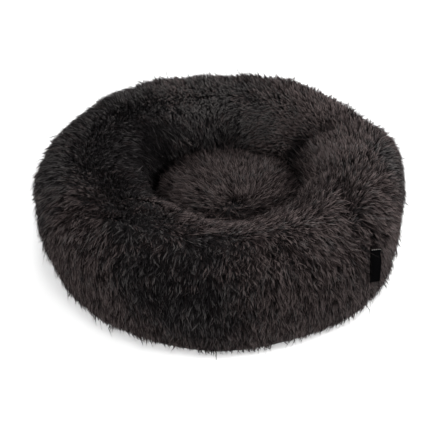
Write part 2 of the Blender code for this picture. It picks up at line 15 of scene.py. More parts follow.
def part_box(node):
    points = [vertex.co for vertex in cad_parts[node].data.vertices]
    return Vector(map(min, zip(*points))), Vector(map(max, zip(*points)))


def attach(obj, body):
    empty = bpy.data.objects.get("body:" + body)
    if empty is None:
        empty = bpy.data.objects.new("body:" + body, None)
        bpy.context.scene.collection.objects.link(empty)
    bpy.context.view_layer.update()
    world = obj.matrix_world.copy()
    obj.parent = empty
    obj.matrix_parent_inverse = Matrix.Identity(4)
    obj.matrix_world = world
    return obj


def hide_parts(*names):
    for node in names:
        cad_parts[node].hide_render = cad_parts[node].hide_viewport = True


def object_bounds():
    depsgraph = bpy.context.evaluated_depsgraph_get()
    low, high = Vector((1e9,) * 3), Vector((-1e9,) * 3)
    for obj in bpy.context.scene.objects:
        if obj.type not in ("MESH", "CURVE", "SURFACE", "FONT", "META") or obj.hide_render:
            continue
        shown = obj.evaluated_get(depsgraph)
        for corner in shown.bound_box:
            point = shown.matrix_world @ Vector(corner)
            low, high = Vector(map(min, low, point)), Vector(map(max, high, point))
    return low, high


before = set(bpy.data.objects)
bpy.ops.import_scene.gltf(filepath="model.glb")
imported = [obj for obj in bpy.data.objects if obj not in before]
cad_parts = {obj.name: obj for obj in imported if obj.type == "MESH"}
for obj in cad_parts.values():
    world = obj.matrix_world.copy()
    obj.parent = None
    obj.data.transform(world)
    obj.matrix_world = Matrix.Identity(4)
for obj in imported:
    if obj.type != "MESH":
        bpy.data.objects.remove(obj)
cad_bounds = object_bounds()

bl_info = {
    "name": "Donut pet bed",
    "version": (1, 0, 0),
    "blender": (4, 5, 0),
    "location": "3D View > Sidebar > Pet Bed",
    "description": "Dresses a donut pet bed with its pile, cloths, labels and zip",
    "category": "Object",
}

PHOTO_PIXELS = 436
# How far the pile stays over the floor, and how far it may stand over the frame's top.
FLOOR_GAP = 0.0012
# Nothing of the well shows below this height.
WELL_SHOWN = 0.075
# How much the locks differ in direction, in radians.
COURSE_SPREAD = 0.28
PROUD_LIMIT = 0.0115
# How far the narrowed side label moves to its left, where 1 keeps its left edge in place.
LABEL_SHIFT = 1.55
BASE_PANELS = ("base_panel_front", "base_panel_back")


# Values that the panel shows


def a_number(name, about, value, **more):
    return FloatProperty(name=name, description=about, default=value, **more)


def a_length(name, about, value):
    return a_number(name, about, value, unit="LENGTH")


def a_colour(name, about, value):
    return FloatVectorProperty(name=name, description=about, default=value, subtype="COLOR")


class PlushSettings(bpy.types.PropertyGroup):
    """The pile and the cloth that it grows from."""

    backing_depth: a_length(
        "Backing depth", "How far the knitted backing lies under the frame's plush surface", 0.0135
    )
    lock_spacing: a_length(
        "Lock spacing", "Size of the cells that hold one lock of pile each", 0.0028
    )
    lock_strands: IntProperty(
        name="Strands in a lock",
        description="How many strands stand in one lock",
        default=3,
        min=1,
    )
    lock_spread: a_length("Lock spread", "Half the width of a lock at its root", 0.0010)
    strand_width: a_length("Strand width", "Width of a strand at half its length", 0.00140)
    pile_rise: a_length("Pile rise", "How high a lock's tip stands over the backing", 0.0165)
    pile_run: a_length("Pile run", "How far a lock leans along the cloth", 0.0150)
    tone_spread: a_number("Tone spread", "How much the strands of one lock differ in tone", 0.19)
    lock_tones: a_number("Lock tones", "How much one lock differs in tone from the next", 0.33)
    # The dark root colour is partly painted shade deep in the pile.
    root_colour: a_colour("Root colour", "Colour of the pile at its root", (0.0020, 0.0018, 0.0018))
    dark_colour: a_colour(
        "Warm dark tips", "Colour of the darkest brown tips", (0.0230, 0.0175, 0.0172)
    )
    middle_colour: a_colour(
        "Warm middle tips", "Colour of most of the brown tips", (0.110, 0.083, 0.081)
    )
    pale_colour: a_colour("Warm pale tips", "Colour of the palest brown tips", (0.300, 0.240, 0.232))
    cool_dark_colour: a_colour(
        "Cool dark tips", "Colour of the darkest grey tips", (0.0175, 0.0158, 0.0168)
    )
    cool_middle_colour: a_colour(
        "Cool middle tips", "Colour of most of the grey tips", (0.081, 0.0738, 0.0762)
    )
    cool_pale_colour: a_colour(
        "Cool pale tips", "Colour of the palest grey tips", (0.230, 0.215, 0.210)
    )


class TrimSettings(bpy.types.PropertyGroup):
    """The labels, the zip, the base cloth and what is inside."""

    label_sheet: a_length("Label cloth", "Thickness of the woven tape of the labels", 0.0004)
    label_loop: a_length("Label loop", "Distance between the two layers of a folded label", 0.0011)
    label_lift: a_length("Label lift", "How far a label's free end stands off the pile", 0.0015)
    label_turn: a_length(
        "Label turn", "How far the side label's right edge stands off the pile", 0.0065
    )
    label_share: a_number(
        "Label share",
        "How much of the side label's width stands out of the seam",
        0.56,
        subtype="FACTOR",
    )
    label_sink: a_length(
        "Label sink", "How far the side label's left edge sinks into the pile", 0.003
    )
    label_colour: a_colour("Side label", "Colour of the side label's cloth", (0.0014, 0.0014, 0.0015))
    care_colour: a_colour("Care label", "Colour of the care label's cloth", (0.72, 0.72, 0.70))
    thread_colour: a_colour(
        "Label thread", "Colour of the thread that holds the side label", (0.42, 0.40, 0.38)
    )
    stitch_length: a_length("Stitch length", "Length of one stitch", 0.0028)
    stitch_width: a_length("Stitch width", "Thickness of the thread", 0.0008)
    tooth_pitch: a_length(
        "Tooth pitch", "Distance from one turn of the zip's coil to the next", 0.0015
    )
    tooth_reach: a_length(
        "Tooth reach", "How near to the zip's middle line the turns of its coils come", 0.00048
    )
    dot_spacing: a_length("Dot spacing", "Distance between the base cloth's non-slip dots", 0.012)
    dot_size: a_length("Dot size", "Diameter of a non-slip dot", 0.0036)
    dot_height: a_length("Dot height", "How far a dot stands out of the base cloth", 0.0006)
    base_colour: a_colour("Base cloth", "Colour of the base cloth", (0.034, 0.034, 0.036))
    lining_colour: a_colour("Lining", "Colour of the bags that hold the filling", (0.60, 0.59, 0.57))


class StageSettings(bpy.types.PropertyGroup):
    """The camera's place and the lamps."""

    camera_elevation: a_number(
        "Camera elevation", "How far the camera looks down", math.radians(37), subtype="ANGLE"
    )
    camera_distance: a_length("Camera distance", "From the camera to the point that it looks at", 2.0)
    aim_height: a_length(
        "Aim height", "Height over the floor of the point that the camera looks at", 0.1
    )
    pixels_per_metre: a_number(
        "Pixels per metre", "Scale of the picture at the point that the camera looks at", 620
    )
    aim_pixel: FloatVectorProperty(
        name="Aim pixel",
        description="Where that point is in the picture, from its upper left corner",
        default=(219.9, 201.2),
        size=2,
    )
    key_power: a_number("Key lamp", "Power of the lamp at the upper right", 20.0, unit="POWER")
    fill_power: a_number("Fill lamp", "Power of the lamp at the left", 12.0, unit="POWER")
    back_power: a_number("Back lamp", "Power of the lamp behind", 17.0, unit="POWER")
    front_power: a_number("Front lamp", "Power of the lamp over the camera", 27.0, unit="POWER")
    ambient: a_number("Ambient", "Strength of the light from all round", 0.26)


# Small helpers for objects


def only(piece):
    """Selects one object and makes it active."""
    bpy.ops.object.select_all(action="DESELECT")
    piece.select_set(True)
    bpy.context.view_layer.objects.active = piece
    return piece


def modified(piece, kind, **settings):
    """Adds a modifier and applies it."""
    only(piece)
    modifier = piece.modifiers.new(kind.lower(), kind)
    for name, value in settings.items():
        setattr(modifier, name, value)
    bpy.ops.object.modifier_apply(modifier=modifier.name)
    return piece


def in_edit_mode(piece, *steps):
    """Runs operators on the whole mesh in edit mode."""
    only(piece)
    bpy.ops.object.mode_set(mode="EDIT")
    bpy.ops.mesh.select_all(action="SELECT")
    for step in steps:
        step()
    bpy.ops.object.mode_set(mode="OBJECT")
    return piece


def copy_of(node, name):
    """A copy of a frame node's mesh with its loose triangles merged."""
    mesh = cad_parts[node].data.copy()
    mesh.materials.clear()
    piece = bpy.data.objects.new(name, mesh)
    bpy.context.scene.collection.objects.link(piece)
    return in_edit_mode(piece, lambda: bpy.ops.mesh.remove_doubles(threshold=1e-5))


def points_of(piece):
    points = np.empty(len(piece.data.vertices) * 3)
    piece.data.vertices.foreach_get("co", points)
    return points.reshape(-1, 3)


def set_points(piece, points):
    piece.data.vertices.foreach_set("co", np.asarray(points, np.float64).ravel())
    piece.data.update()


def normals_of(piece):
    normals = np.empty(len(piece.data.vertices) * 3)
    piece.data.vertices.foreach_get("normal", normals)
    return normals.reshape(-1, 3)


def unit(vectors):
    return vectors / np.maximum(np.linalg.norm(vectors, axis=-1, keepdims=True), 1e-12)


def merged_flats(piece, degrees):
    """Makes one face of the faces that lie flat beside each other."""
    limit = math.radians(degrees)
    return in_edit_mode(piece, lambda: bpy.ops.mesh.dissolve_limited(angle_limit=limit))


def tree_of(piece):
    """A piece's mesh, made ready for rays."""
    mesh = piece.data
    faces = [face.vertices for face in mesh.polygons]
    return BVHTree.FromPolygons([vertex.co for vertex in mesh.vertices], faces)


def kept_faces(piece, keep):
    """Deletes the faces that keep(centres, normals) doesn't mark."""
    count = len(piece.data.polygons)
    centres, normals = np.empty(count * 3), np.empty(count * 3)
    piece.data.polygons.foreach_get("center", centres)
    piece.data.polygons.foreach_get("normal", normals)
    marks = keep(centres.reshape(-1, 3), normals.reshape(-1, 3))
    only(piece)
    bpy.ops.object.mode_set(mode="EDIT")
    bpy.ops.mesh.select_mode(type="FACE")
    bpy.ops.object.mode_set(mode="OBJECT")
    piece.data.polygons.foreach_set("select", ~marks)
    bpy.ops.object.mode_set(mode="EDIT")
    bpy.ops.mesh.delete(type="FACE")
    bpy.ops.object.mode_set(mode="OBJECT")
    return piece


def dressed(piece, material, body="bed", replaces=()):
    """Gives a piece its material and its body, and hides the frame nodes that it stands for."""
    piece.data.materials.clear()
    piece.data.materials.append(material)
    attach(piece, body)
    if replaces:
        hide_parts(*replaces)
    return piece


# Shader maths


class Signal:
    """A node socket that Python's operators work on."""

    def __init__(self, finish, socket):
        self.finish = finish
        self.socket = socket

    def maths(self, operation, *others):
        return self.finish.node("ShaderNodeMath", {"operation": operation}, self, *others)

    def __add__(self, other):
        return self.maths("ADD", other)

    def __mul__(self, other):
        return self.maths("MULTIPLY", other)

    def __sub__(self, other):
        return self.maths("SUBTRACT", other)

    def __rsub__(self, other):
        return self.finish.node("ShaderNodeMath", {"operation": "SUBTRACT"}, other, self)

    def __pow__(self, other):
        return self.maths("POWER", other)

    __radd__ = __add__
    __rmul__ = __mul__

    def sine(self):
        return self.maths("SINE")


class Finish:
    """One material, built from nodes."""

    def __init__(self, name, roughness, **values):
        self.material = bpy.data.materials.new(name)
        self.material.use_nodes = True
        self.tree = self.material.node_tree
        self.shader = self.tree.nodes["Principled BSDF"]
        self.shader.inputs["Roughness"].default_value = roughness
        for socket, value in values.items():
            self.shader.inputs[socket.replace("_", " ")].default_value = value

    def node(self, kind, settings, *sockets, output=0, **named):
        """A node with its settings, then its sockets' values or links."""
        made = self.tree.nodes.new(kind)
        stops = settings.pop("stops", None)
        for name, value in settings.items():
            setattr(made, name, value)
        if stops:
            ramp = made.color_ramp
            while len(ramp.elements) < len(stops):
                ramp.elements.new(1)
            for element, (place, colour) in zip(ramp.elements, stops):
                element.position = place
                element.color = (*colour, 1)
        for key, value in [*enumerate(sockets), *named.items()]:
            socket = made.inputs[key.replace("_", " ") if isinstance(key, str) else key]
            if isinstance(value, Signal):
                self.tree.links.new(value.socket, socket)
            elif value is not None:
                plain = socket.type == "RGBA" and len(value) == 3
                socket.default_value = (*value, 1) if plain else value
        return Signal(self, made.outputs[output])

    def feed(self, socket, signal):
        self.tree.links.new(signal.socket, self.shader.inputs[socket])

    def split(self, signal):
        """The X, Y and Z of a vector."""
        made = self.tree.nodes.new("ShaderNodeSeparateXYZ")
        self.tree.links.new(signal.socket, made.inputs[0])
        return [Signal(self, output) for output in made.outputs]

    def own(self):
        """Object coordinates."""
        return self.node("ShaderNodeTexCoord", {}, output="Object")

    def uv(self, name):
        return self.node("ShaderNodeUVMap", {"uv_map": name})

    def noise(self, vector, scale, detail=3.0, roughness=0.5):
        settings = {"Scale": scale, "Detail": detail, "Roughness": roughness}
        return self.node("ShaderNodeTexNoise", {}, vector, **settings)

    def blend(self, factor, first, second):
        """A colour between two."""
        made = self.tree.nodes.new("ShaderNodeMix")
        made.data_type = "RGBA"
        for key, value in (("Factor", factor), (6, first), (7, second)):
            socket = made.inputs[key]
            if isinstance(value, Signal):
                self.tree.links.new(value.socket, socket)
            else:
                socket.default_value = (*value, 1) if socket.type == "RGBA" else value
        return Signal(self, made.outputs[2])

    def bumped(self, height, strength, distance):
        settings = {"Strength": strength, "Distance": distance}
        self.feed("Normal", self.node("ShaderNodeBump", {}, Height=height, **settings))


def shared(name, make, *values):
    """A material that several pieces use, made the first time that one asks for it."""
    return bpy.data.materials.get(name) or make(*values)


def backing_finish():
    return shared("plush_backing", knit_finish, "plush_backing", (0.010, 0.009, 0.0095))


def plush_finish(plush):
    """Pile: dark at the root, partly as painted shade deep in the pile, and paler towards the tip by
    as much as its strand says.

    U runs over the warm tones from 0 to 0.48 and over the cool ones from 0.52 to 1.
    """
    finish = Finish("plush_pile", 0.6, Specular_IOR_Level=0.02)
    tone, along, _ = finish.split(finish.uv("OFBake"))
    warm = (plush.dark_colour, plush.middle_colour, plush.pale_colour)
    cool = (plush.cool_dark_colour, plush.cool_middle_colour, plush.cool_pale_colour)
    stops = [*zip((0.0, 0.24, 0.48), warm), *zip((0.52, 0.76, 1.0), cool)]
    tip = finish.node("ShaderNodeValToRGB", {"stops": stops}, tone)
    finish.feed("Base Color", finish.blend(along ** 2.3, tuple(plush.root_colour), tip))
    return finish.material


def knit_finish(name, colour, roughness=0.9, scale=900.0):
    """Knitted or woven cloth: crossed ribs with a little uneven colour."""
    finish = Finish(name, roughness, Sheen_Weight=0.1)
    place = finish.own()
    x, y, z = finish.split(place)
    ribs = (x * scale).sine() * (y * scale).sine() + (z * scale).sine()
    cloud = finish.noise(place, 35.0)
    pale = tuple(min(channel * 1.5, 1.0) for channel in colour)
    finish.feed("Base Color", finish.blend(cloud, tuple(colour), pale))
    finish.bumped(ribs, 0.25, 0.0003)
    return finish.material


def label_finish(name, colour, thread, gloss):
    """Woven satin: fine warp threads along the label and weft across it."""
    finish = Finish(name, gloss, Specular_IOR_Level=0.0)
    across, along, _ = finish.split(finish.uv("weave"))
    weft = (along * 2600.0).sine()
    warp = (across * 900.0).sine()
    cloth = weft * 0.5 + warp * 0.5
    worn = finish.noise(finish.own(), 260.0, 4.0)
    threads = (cloth * 0.25 + 0.5) * (worn * 0.6 + 0.7)
    finish.feed("Base Color", finish.blend(threads, tuple(colour), tuple(thread)))
    finish.bumped(cloth, 0.35, 0.0002)
    return finish.material


def fibre_finish():
    finish = Finish("fluffy_fibre", 0.95, Sheen_Weight=0.3)
    cloud = finish.noise(finish.own(), 60.0, 6.0, 0.7)
    finish.feed("Base Color", finish.blend(cloud, (0.70, 0.70, 0.68), (0.92, 0.92, 0.90)))
    finish.bumped(cloud, 0.6, 0.004)
    return finish.material


def thread_finish(name, colour):
    """Sewing thread with a twist."""
    finish = Finish(name, 0.6, Sheen_Weight=0.1)
    x, y, z = finish.split(finish.own())
    twist = ((x + y + z) * 5200.0).sine() * 0.5 + 0.5
    dark = tuple(channel * 0.55 for channel in colour)
    finish.feed("Base Color", finish.blend(twist, dark, tuple(colour)))
    finish.bumped(twist, 0.3, 0.0001)
    return finish.material


def metal_finish():
    """Dark plating, rubbed paler in places."""
    finish = Finish("dark_metal", 0.34, Metallic=0.92)
    place = finish.own()
    rubbed = finish.noise(place, 420.0, 5.0, 0.6)
    stops = [(0.42, (0.055, 0.055, 0.060)), (0.68, (0.17, 0.17, 0.175))]
    finish.feed("Base Color", finish.node("ShaderNodeValToRGB", {"stops": stops}, rubbed))
    finish.feed("Roughness", rubbed * 0.30 + 0.20)
    finish.bumped(finish.noise(place, 2400.0), 0.08, 0.0001)
    return finish.material


def rubber_finish():
    finish = Finish("base_dots", 0.55)
    cloud = finish.noise(finish.own(), 300.0)
    finish.feed("Base Color", finish.blend(cloud, (0.070, 0.070, 0.073), (0.105, 0.105, 0.108)))
    return finish.material


def coil_finish():
    finish = Finish("coil_nylon", 0.42, Specular_IOR_Level=0.5)
    cloud = finish.noise(finish.own(), 900.0)
    finish.feed("Base Color", finish.blend(cloud, (0.028, 0.028, 0.030), (0.055, 0.055, 0.058)))
    return finish.material


def background_rays(nodes, links):
    """A socket that is 1 for the rays that show the background, and 0 for those that light."""
    path = nodes.new("ShaderNodeLightPath")
    seen = path.outputs["Is Camera Ray"]
    for kind in ("Is Glossy Ray", "Is Transmission Ray"):
        both = nodes.new("ShaderNodeMath")
        both.operation = "MAXIMUM"
        links.new(seen, both.inputs[0])
        links.new(path.outputs[kind], both.inputs[1])
        seen = both.outputs[0]
    return seen


def floor_finish():
    """A pale floor that stays nearly white to the camera and keeps the bed's shadow."""
    finish = Finish("studio_floor", 0.9, Specular_IOR_Level=0.1)
    finish.shader.inputs["Base Color"].default_value = (0.86, 0.86, 0.86, 1)
    nodes, links = finish.tree.nodes, finish.tree.links
    path = nodes.new("ShaderNodeLightPath")
    seen = Signal(finish, background_rays(nodes, links))
    x, y, _ = finish.split(finish.own())
    away = (x * x + y * y) ** 0.5
    # Near the bed the lamps bring it to white, and further out its own glow does. It has no glow
    # right under the bed.
    level = finish.node("ShaderNodeMapRange", {}, away, From_Min=1.0, From_Max=4.0, To_Min=0.45)
    level *= finish.node("ShaderNodeMapRange", {}, away, From_Min=0.20, From_Max=0.24)
    glow = nodes.new("ShaderNodeEmission")
    glow.inputs["Color"].default_value = (1, 1, 1, 1)
    links.new((seen * level).socket, glow.inputs["Strength"])
    both = nodes.new("ShaderNodeAddShader")
    links.new(finish.shader.outputs[0], both.inputs[0])
    links.new(glow.outputs[0], both.inputs[1])
    # It is clear from below, and to the light of the cloth that lies on it, so that the base
    # can be seen.
    clear = nodes.new("ShaderNodeBsdfTransparent")
    side = nodes.new("ShaderNodeNewGeometry")
    shown = nodes.new("ShaderNodeMixShader")
    beneath = Signal(finish, side.outputs["Backfacing"])
    touching = Signal(finish, path.outputs["Ray Length"]).maths("LESS_THAN", 0.004)
    links.new(beneath.maths("MAXIMUM", touching).socket, shown.inputs[0])
    links.new(both.outputs[0], shown.inputs[1])
    links.new(clear.outputs[0], shown.inputs[2])
    links.new(shown.outputs[0], nodes["Material Output"].inputs["Surface"])
    return finish.material


# Where the pile grows, and which way


def waves(points, size, seed):
    """Smooth seeded noise from -1 to 1, with features of about a size."""
    rng = np.random.RandomState(seed)
    total = np.zeros(len(points))
    for _ in range(7):
        direction = unit(rng.normal(size=3))
        steps = points @ direction * 2 * math.pi / size
        total += np.sin(steps * rng.uniform(0.6, 1.5) + rng.uniform(0, 7))
    return np.clip(total / 3.2, -1, 1)


def scattered(piece, cell, rng):
    """Seeded points on a piece, one for each cell that its surface crosses, with their normals."""
    mesh = piece.data
    mesh.calc_loop_triangles()
    corners = np.empty(len(mesh.loop_triangles) * 3, np.int64)
    mesh.loop_triangles.foreach_get("vertices", corners)
    corners = corners.reshape(-1, 3)
    points, normals = points_of(piece), normals_of(piece)
    a, b, c = (points[corners[:, k]] for k in range(3))
    area = np.linalg.norm(np.cross(b - a, c - a), axis=1) / 2
    count = int(area.sum() / cell**2 * 9)
    pick = rng.choice(len(area), count, p=area / area.sum())
    root, share = np.sqrt(rng.random_sample(count)), rng.random_sample(count)
    weights = np.column_stack([1 - root, root * (1 - share), root * share])
    chosen = corners[pick]
    places = sum(weights[:, k : k + 1] * points[chosen[:, k]] for k in range(3))
    facing = unit(sum(weights[:, k : k + 1] * normals[chosen[:, k]] for k in range(3)))
    cells = np.floor(places / cell).astype(np.int64) + 4096
    _, first = np.unique((cells[:, 0] * 8192 + cells[:, 1]) * 8192 + cells[:, 2], return_index=True)
    return places[first], facing[first]


def bearing_frame(points):
    """Bearings in degrees, and the unit vectors outwards and round."""
    angle = np.arctan2(points[:, 1], points[:, 0])
    outwards = np.column_stack([np.cos(angle), np.sin(angle), np.zeros(len(points))])
    round_bed = np.column_stack([-np.sin(angle), np.cos(angle), np.zeros(len(points))])
    return np.degrees(angle), outwards, round_bed


def tilt_of(points, normals):
    """How far the cloth faces up from straight outwards: 90 on the crest and 180 in the well."""
    _, outwards, _ = bearing_frame(points)
    tilt = np.degrees(np.arctan2(normals[:, 2], (normals * outwards).sum(axis=1)))
    return np.where(tilt < -90, tilt + 360, tilt)


def combed_tilt(points, normals):
    """The tilt that the comb goes by: in front the crest's outer half is brushed like the wall."""
    bearings, _, _ = bearing_frame(points)
    return tilt_of(points, normals) - 22 * np.clip(-np.sin(np.radians(bearings)), 0, 1)


def rim_comb(points, normals):
    """The way the rim's pile leans, and how far: down the walls, and round the bed on top.

    On the left it parts along the crest, in front on the left it is swept round as it falls, and
    on the right it stays half up in the well too.
    """
    bearings, _, round_bed = bearing_frame(points)
    downhill = unit(np.cross(round_bed, normals))
    tilt = combed_tilt(points, normals) + 8 * waves(points, 0.11, 11)
    turn = np.radians(bearings)
    left, right = np.maximum(-np.cos(turn), 0), np.maximum(np.cos(turn), 0)
    fall = np.interp(tilt, [-90, 60, 74, 106, 132, 270], [1, 1, 0.2, -0.2, -1, -1])
    parted = np.interp(tilt, [-90, 62, 118, 270], [1, 1, -1, -1])
    fall += (parted - fall) * np.minimum(left * 1.3, 1)
    fall *= np.where(fall < 0, 1 - 1.4 * right, 1)
    drift = np.sqrt(np.maximum(1 - fall**2, 0)) * (1 - 0.85 * left)
    swept = left * np.clip(-0.10 - points[:, 1], 0, 0.04) / 0.04 * (fall > 0.5)
    drift += 0.9 * swept
    drift += 0.20 * waves(points, 0.09, 13) + 0.35 * waves(points, 0.030, 14)
    drift += 0.25 * waves(points, 0.015, 15)
    comb = downhill * fall[:, None] + round_bed * drift[:, None]
    return unit(comb), np.clip(np.linalg.norm(comb, axis=1), 0.35, 1)


# Folds of the cloth, and swellings beside them: the places that each runs through, half its
# width, and its depth, which is below zero for a swelling.
CREASES = (
    (((0.122, 0.110, 0.125), (0.140, 0.084, 0.142), (0.168, 0.088, 0.176)), 0.016, 0.018),
    (((0.126, -0.005, 0.125), (0.143, -0.011, 0.155), (0.153, -0.035, 0.177)), 0.010, 0.014),
    (
        (
            (0.153, -0.035, 0.177),
            (0.193, -0.050, 0.197),
            (0.220, -0.040, 0.197),
            (0.250, -0.030, 0.190),
        ),
        0.009,
        0.011,
    ),
    (
        (
            (0.207, -0.190, 0.160),
            (0.189, -0.172, 0.184),
            (0.185, -0.135, 0.195),
            (0.180, -0.082, 0.197),
        ),
        0.010,
        0.011,
    ),
    (
        (
            (-0.240, -0.110, 0.175),
            (-0.193, -0.124, 0.185),
            (-0.145, -0.140, 0.190),
            (-0.118, -0.118, 0.184),
        ),
        0.009,
        0.005,
    ),
    (((-0.170, -0.215, 0.140), (-0.150, -0.185, 0.183)), 0.012, 0.004),
    (((0.145, -0.120, 0.190), (0.165, -0.085, 0.195)), 0.030, -0.005),
    (((-0.108, -0.105, 0.175), (-0.060, -0.122, 0.175)), 0.020, -0.008),
)
# Seen from above, so with no height.
CUSHION_CREASES = ((((0.010, -0.080, 0), (0.050, -0.084, 0), (0.095, -0.060, 0)), 0.020, 0.014),)


def fold_depth(points, creases=CREASES):
    """How deep each point lies in a fold, and how near it is to one, 0 to 1."""
    depth, near = np.zeros(len(points)), np.zeros(len(points))
    for places, width, deep in creases:
        here = np.zeros(len(points))
        for start, end in zip(places, places[1:]):
            start, span = np.array(start), np.array(end) - np.array(start)
            along = np.clip((points - start) @ span / (span @ span), 0, 1)
            away = np.linalg.norm(points - start - along[:, None] * span, axis=1)
            here = np.maximum(here, np.exp(-((away / width) ** 2)))
        depth += deep * here
        if deep > 0:
            near = np.maximum(near, here)
    return depth, near


def cushion_comb(points, normals, swirl):
    """The cushion's pile fans out from a swirl."""
    away = points - np.array(swirl)
    away[:, 2] = 0
    sideways = np.column_stack([-away[:, 1], away[:, 0], np.zeros(len(points))])
    near = np.exp(-((np.linalg.norm(away, axis=1) / 0.05) ** 2))
    course = unit(away) + unit(sideways) * (0.6 * near + 0.45 * waves(points, 0.07, 21))[:, None]
    course -= normals * (course * normals).sum(axis=1)[:, None]
    return unit(course)


def turned(directions, normals, angles):
    """Directions turned about their normals."""
    sideways = np.cross(normals, directions)
    return directions * np.cos(angles)[:, None] + sideways * np.sin(angles)[:, None]


def strands_mesh(name, start, middle, end, across, width, tone):
    """Closed three-sided spindles, with their tone and their length as UV."""
    count = len(start)
    along = unit(unit(middle - start) + unit(end - middle))
    wide = unit(across - along * (across * along).sum(axis=1)[:, None])
    thick = np.cross(along, wide)
    ring = []
    for k in range(3):
        angle = 2 * math.pi * k / 3
        reach = math.cos(angle) * wide + 0.7 * math.sin(angle) * thick
        ring.append(middle + width[:, None] / 2 * reach)
    vertices = np.stack([start, *ring, end], axis=1)
    sides = [(0, 1 + (k + 1) % 3, 1 + k) for k in range(3)]
    sides += [(1 + k, 1 + (k + 1) % 3, 4) for k in range(3)]
    loops = np.array(sides).reshape(-1)
    offsets = (np.arange(count) * 5)[:, None]
    mesh = bpy.data.meshes.new(name)
    mesh.vertices.add(count * 5)
    mesh.vertices.foreach_set("co", vertices.reshape(-1))
    mesh.loops.add(count * len(loops))
    mesh.loops.foreach_set("vertex_index", (loops[None] + offsets).reshape(-1))
    mesh.polygons.add(count * len(sides))
    mesh.polygons.foreach_set("loop_start", np.arange(count * len(sides)) * 3)
    mesh.polygons.foreach_set("use_smooth", np.ones(count * len(sides), bool))
    mesh.update(calc_edges=True)
    # Each face has its own stretch of U, so that none is without width.
    step = 0.003
    u, v = [], []
    for k in range(3):
        u += [k - 1, k - 0.5, k - 1.5]
        v += [0.02, 0.5, 0.5]
    for k in range(3):
        u += [k - 1.5, k - 0.5, k - 1]
        v += [0.5, 0.5, 0.98]
    u = tone[:, None] + step * np.array(u)[None]
    layer = mesh.uv_layers.new(name="OFBake")
    uv = np.stack([u, np.broadcast_to(np.array(v)[None], u.shape)], axis=2)
    layer.data.foreach_set("uv", uv.reshape(-1))
    return mesh


def banded(tone, cool, rng):
    """U for strands from their tone, 0 to 1, and the share of them that is cool."""
    place = 0.012 + np.clip(tone, 0, 1) * 0.456
    return np.where(rng.random_sample(len(tone)) < cool, 0.52 + place, place)


# How deep a strand's root lies, how much whole locks and single strands bend, and how much the
# tips differ in place.
ROOT_DEPTH = 0.0008
LOCK_BEND = 0.0017
STRAND_BEND = 0.0007
TIP_SPREAD = 0.0005


def locks(name, roots, normals, courses, rise, run, tone, cool, plush, rng):
    """One piece of pile, from locks whose strands close up towards their tips."""
    count, strands = len(roots), plush.lock_strands
    shape = (count, strands)

    def each(values):
        return np.repeat(values, strands, axis=0)

    angle = rng.random_sample(shape).reshape(-1) * 2 * math.pi
    reach = np.sqrt(rng.random_sample(shape).reshape(-1)) * plush.lock_spread
    size = rng.uniform(0.62, 1.08, shape).reshape(-1)
    size = np.where(rng.random_sample(len(size)) < 0.04, size * 1.35, size)
    bend = (rng.normal(0, LOCK_BEND, (count, 1)) + rng.normal(0, STRAND_BEND, shape)).reshape(-1)
    roots, normals, courses = each(roots), each(normals), each(courses)
    across = np.cross(normals, courses)
    offset = courses * (np.cos(angle) * reach)[:, None] + across * (np.sin(angle) * reach)[:, None]
    rise, run = each(rise) * size, each(run) * size
    start = roots + offset - normals * ROOT_DEPTH
    middle = roots + offset * 0.80 + courses * (run * 0.34)[:, None]
    middle += normals * (rise * 0.70)[:, None]
    middle += across * (bend * 0.5)[:, None]
    jitter = rng.normal(0, TIP_SPREAD, (count * strands, 3))
    end = roots + offset * 0.30 + courses * run[:, None] + normals * rise[:, None] + jitter
    end += across * (bend * 1.4)[:, None]
    for points in (start, middle, end):
        points[:, 2] = np.clip(points[:, 2], FLOOR_GAP, cad_bounds[1][2] + PROUD_LIMIT)
    width = plush.strand_width * rng.uniform(0.75, 1.2, count * strands)
    tones = banded(each(tone) + rng.normal(0, plush.tone_spread, count * strands), each(cool), rng)
    mesh = strands_mesh(name, start, middle, end, across, width, tones)
    piece = bpy.data.objects.new(name, mesh)
    bpy.context.scene.collection.objects.link(piece)
    return piece


# Cloth


def tube_middle():
    """Radius and height of the middle of the rim's tube."""
    low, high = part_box("rim_filling")
    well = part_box("cushion_cover")[1].x
    return (high.x + well) / 2, (low.z + high.z) / 2


def open_edge(piece):
    """The points on a skin's open edges."""
    mesh = piece.data
    ends = np.empty(len(mesh.edges) * 2, np.int64)
    mesh.edges.foreach_get("vertices", ends)
    used = np.empty(len(mesh.loops), np.int64)
    mesh.loops.foreach_get("edge_index", used)
    return np.unique(ends.reshape(-1, 2)[np.bincount(used, minlength=len(mesh.edges)) == 1])


def stuffed(piece, pressure, cap):
    """Blows a skin up as its filling does, with its edge held and no point moved past a cap."""
    before = points_of(piece)
    held = piece.vertex_groups.new(name="held")
    held.add([int(k) for k in open_edge(piece)], 1.0, "REPLACE")
    only(piece)
    cloth = piece.modifiers.new("stuffing", "CLOTH")
    settings = cloth.settings
    settings.quality = 4
    settings.use_pressure = True
    settings.uniform_pressure_force = pressure
    settings.vertex_group_mass = "held"
    settings.effector_weights.gravity = 0
    settings.tension_stiffness = 12
    settings.bending_stiffness = 0.4
    cloth.collision_settings.use_collision = False
    scene = bpy.context.scene
    for step in range(1, 21):
        scene.frame_set(step)
    bpy.ops.object.modifier_apply(modifier=cloth.name)
    scene.frame_set(1)
    moved = points_of(piece) - before
    length = np.linalg.norm(moved, axis=1, keepdims=True)
    set_points(piece, before + moved * np.minimum(1, cap / np.maximum(length, 1e-9)))
    piece.vertex_groups.clear()
    return piece


def sunk(piece, depth):
    """Moves a skin's points inwards along their normals."""
    set_points(piece, points_of(piece) - normals_of(piece) * depth)
    return piece


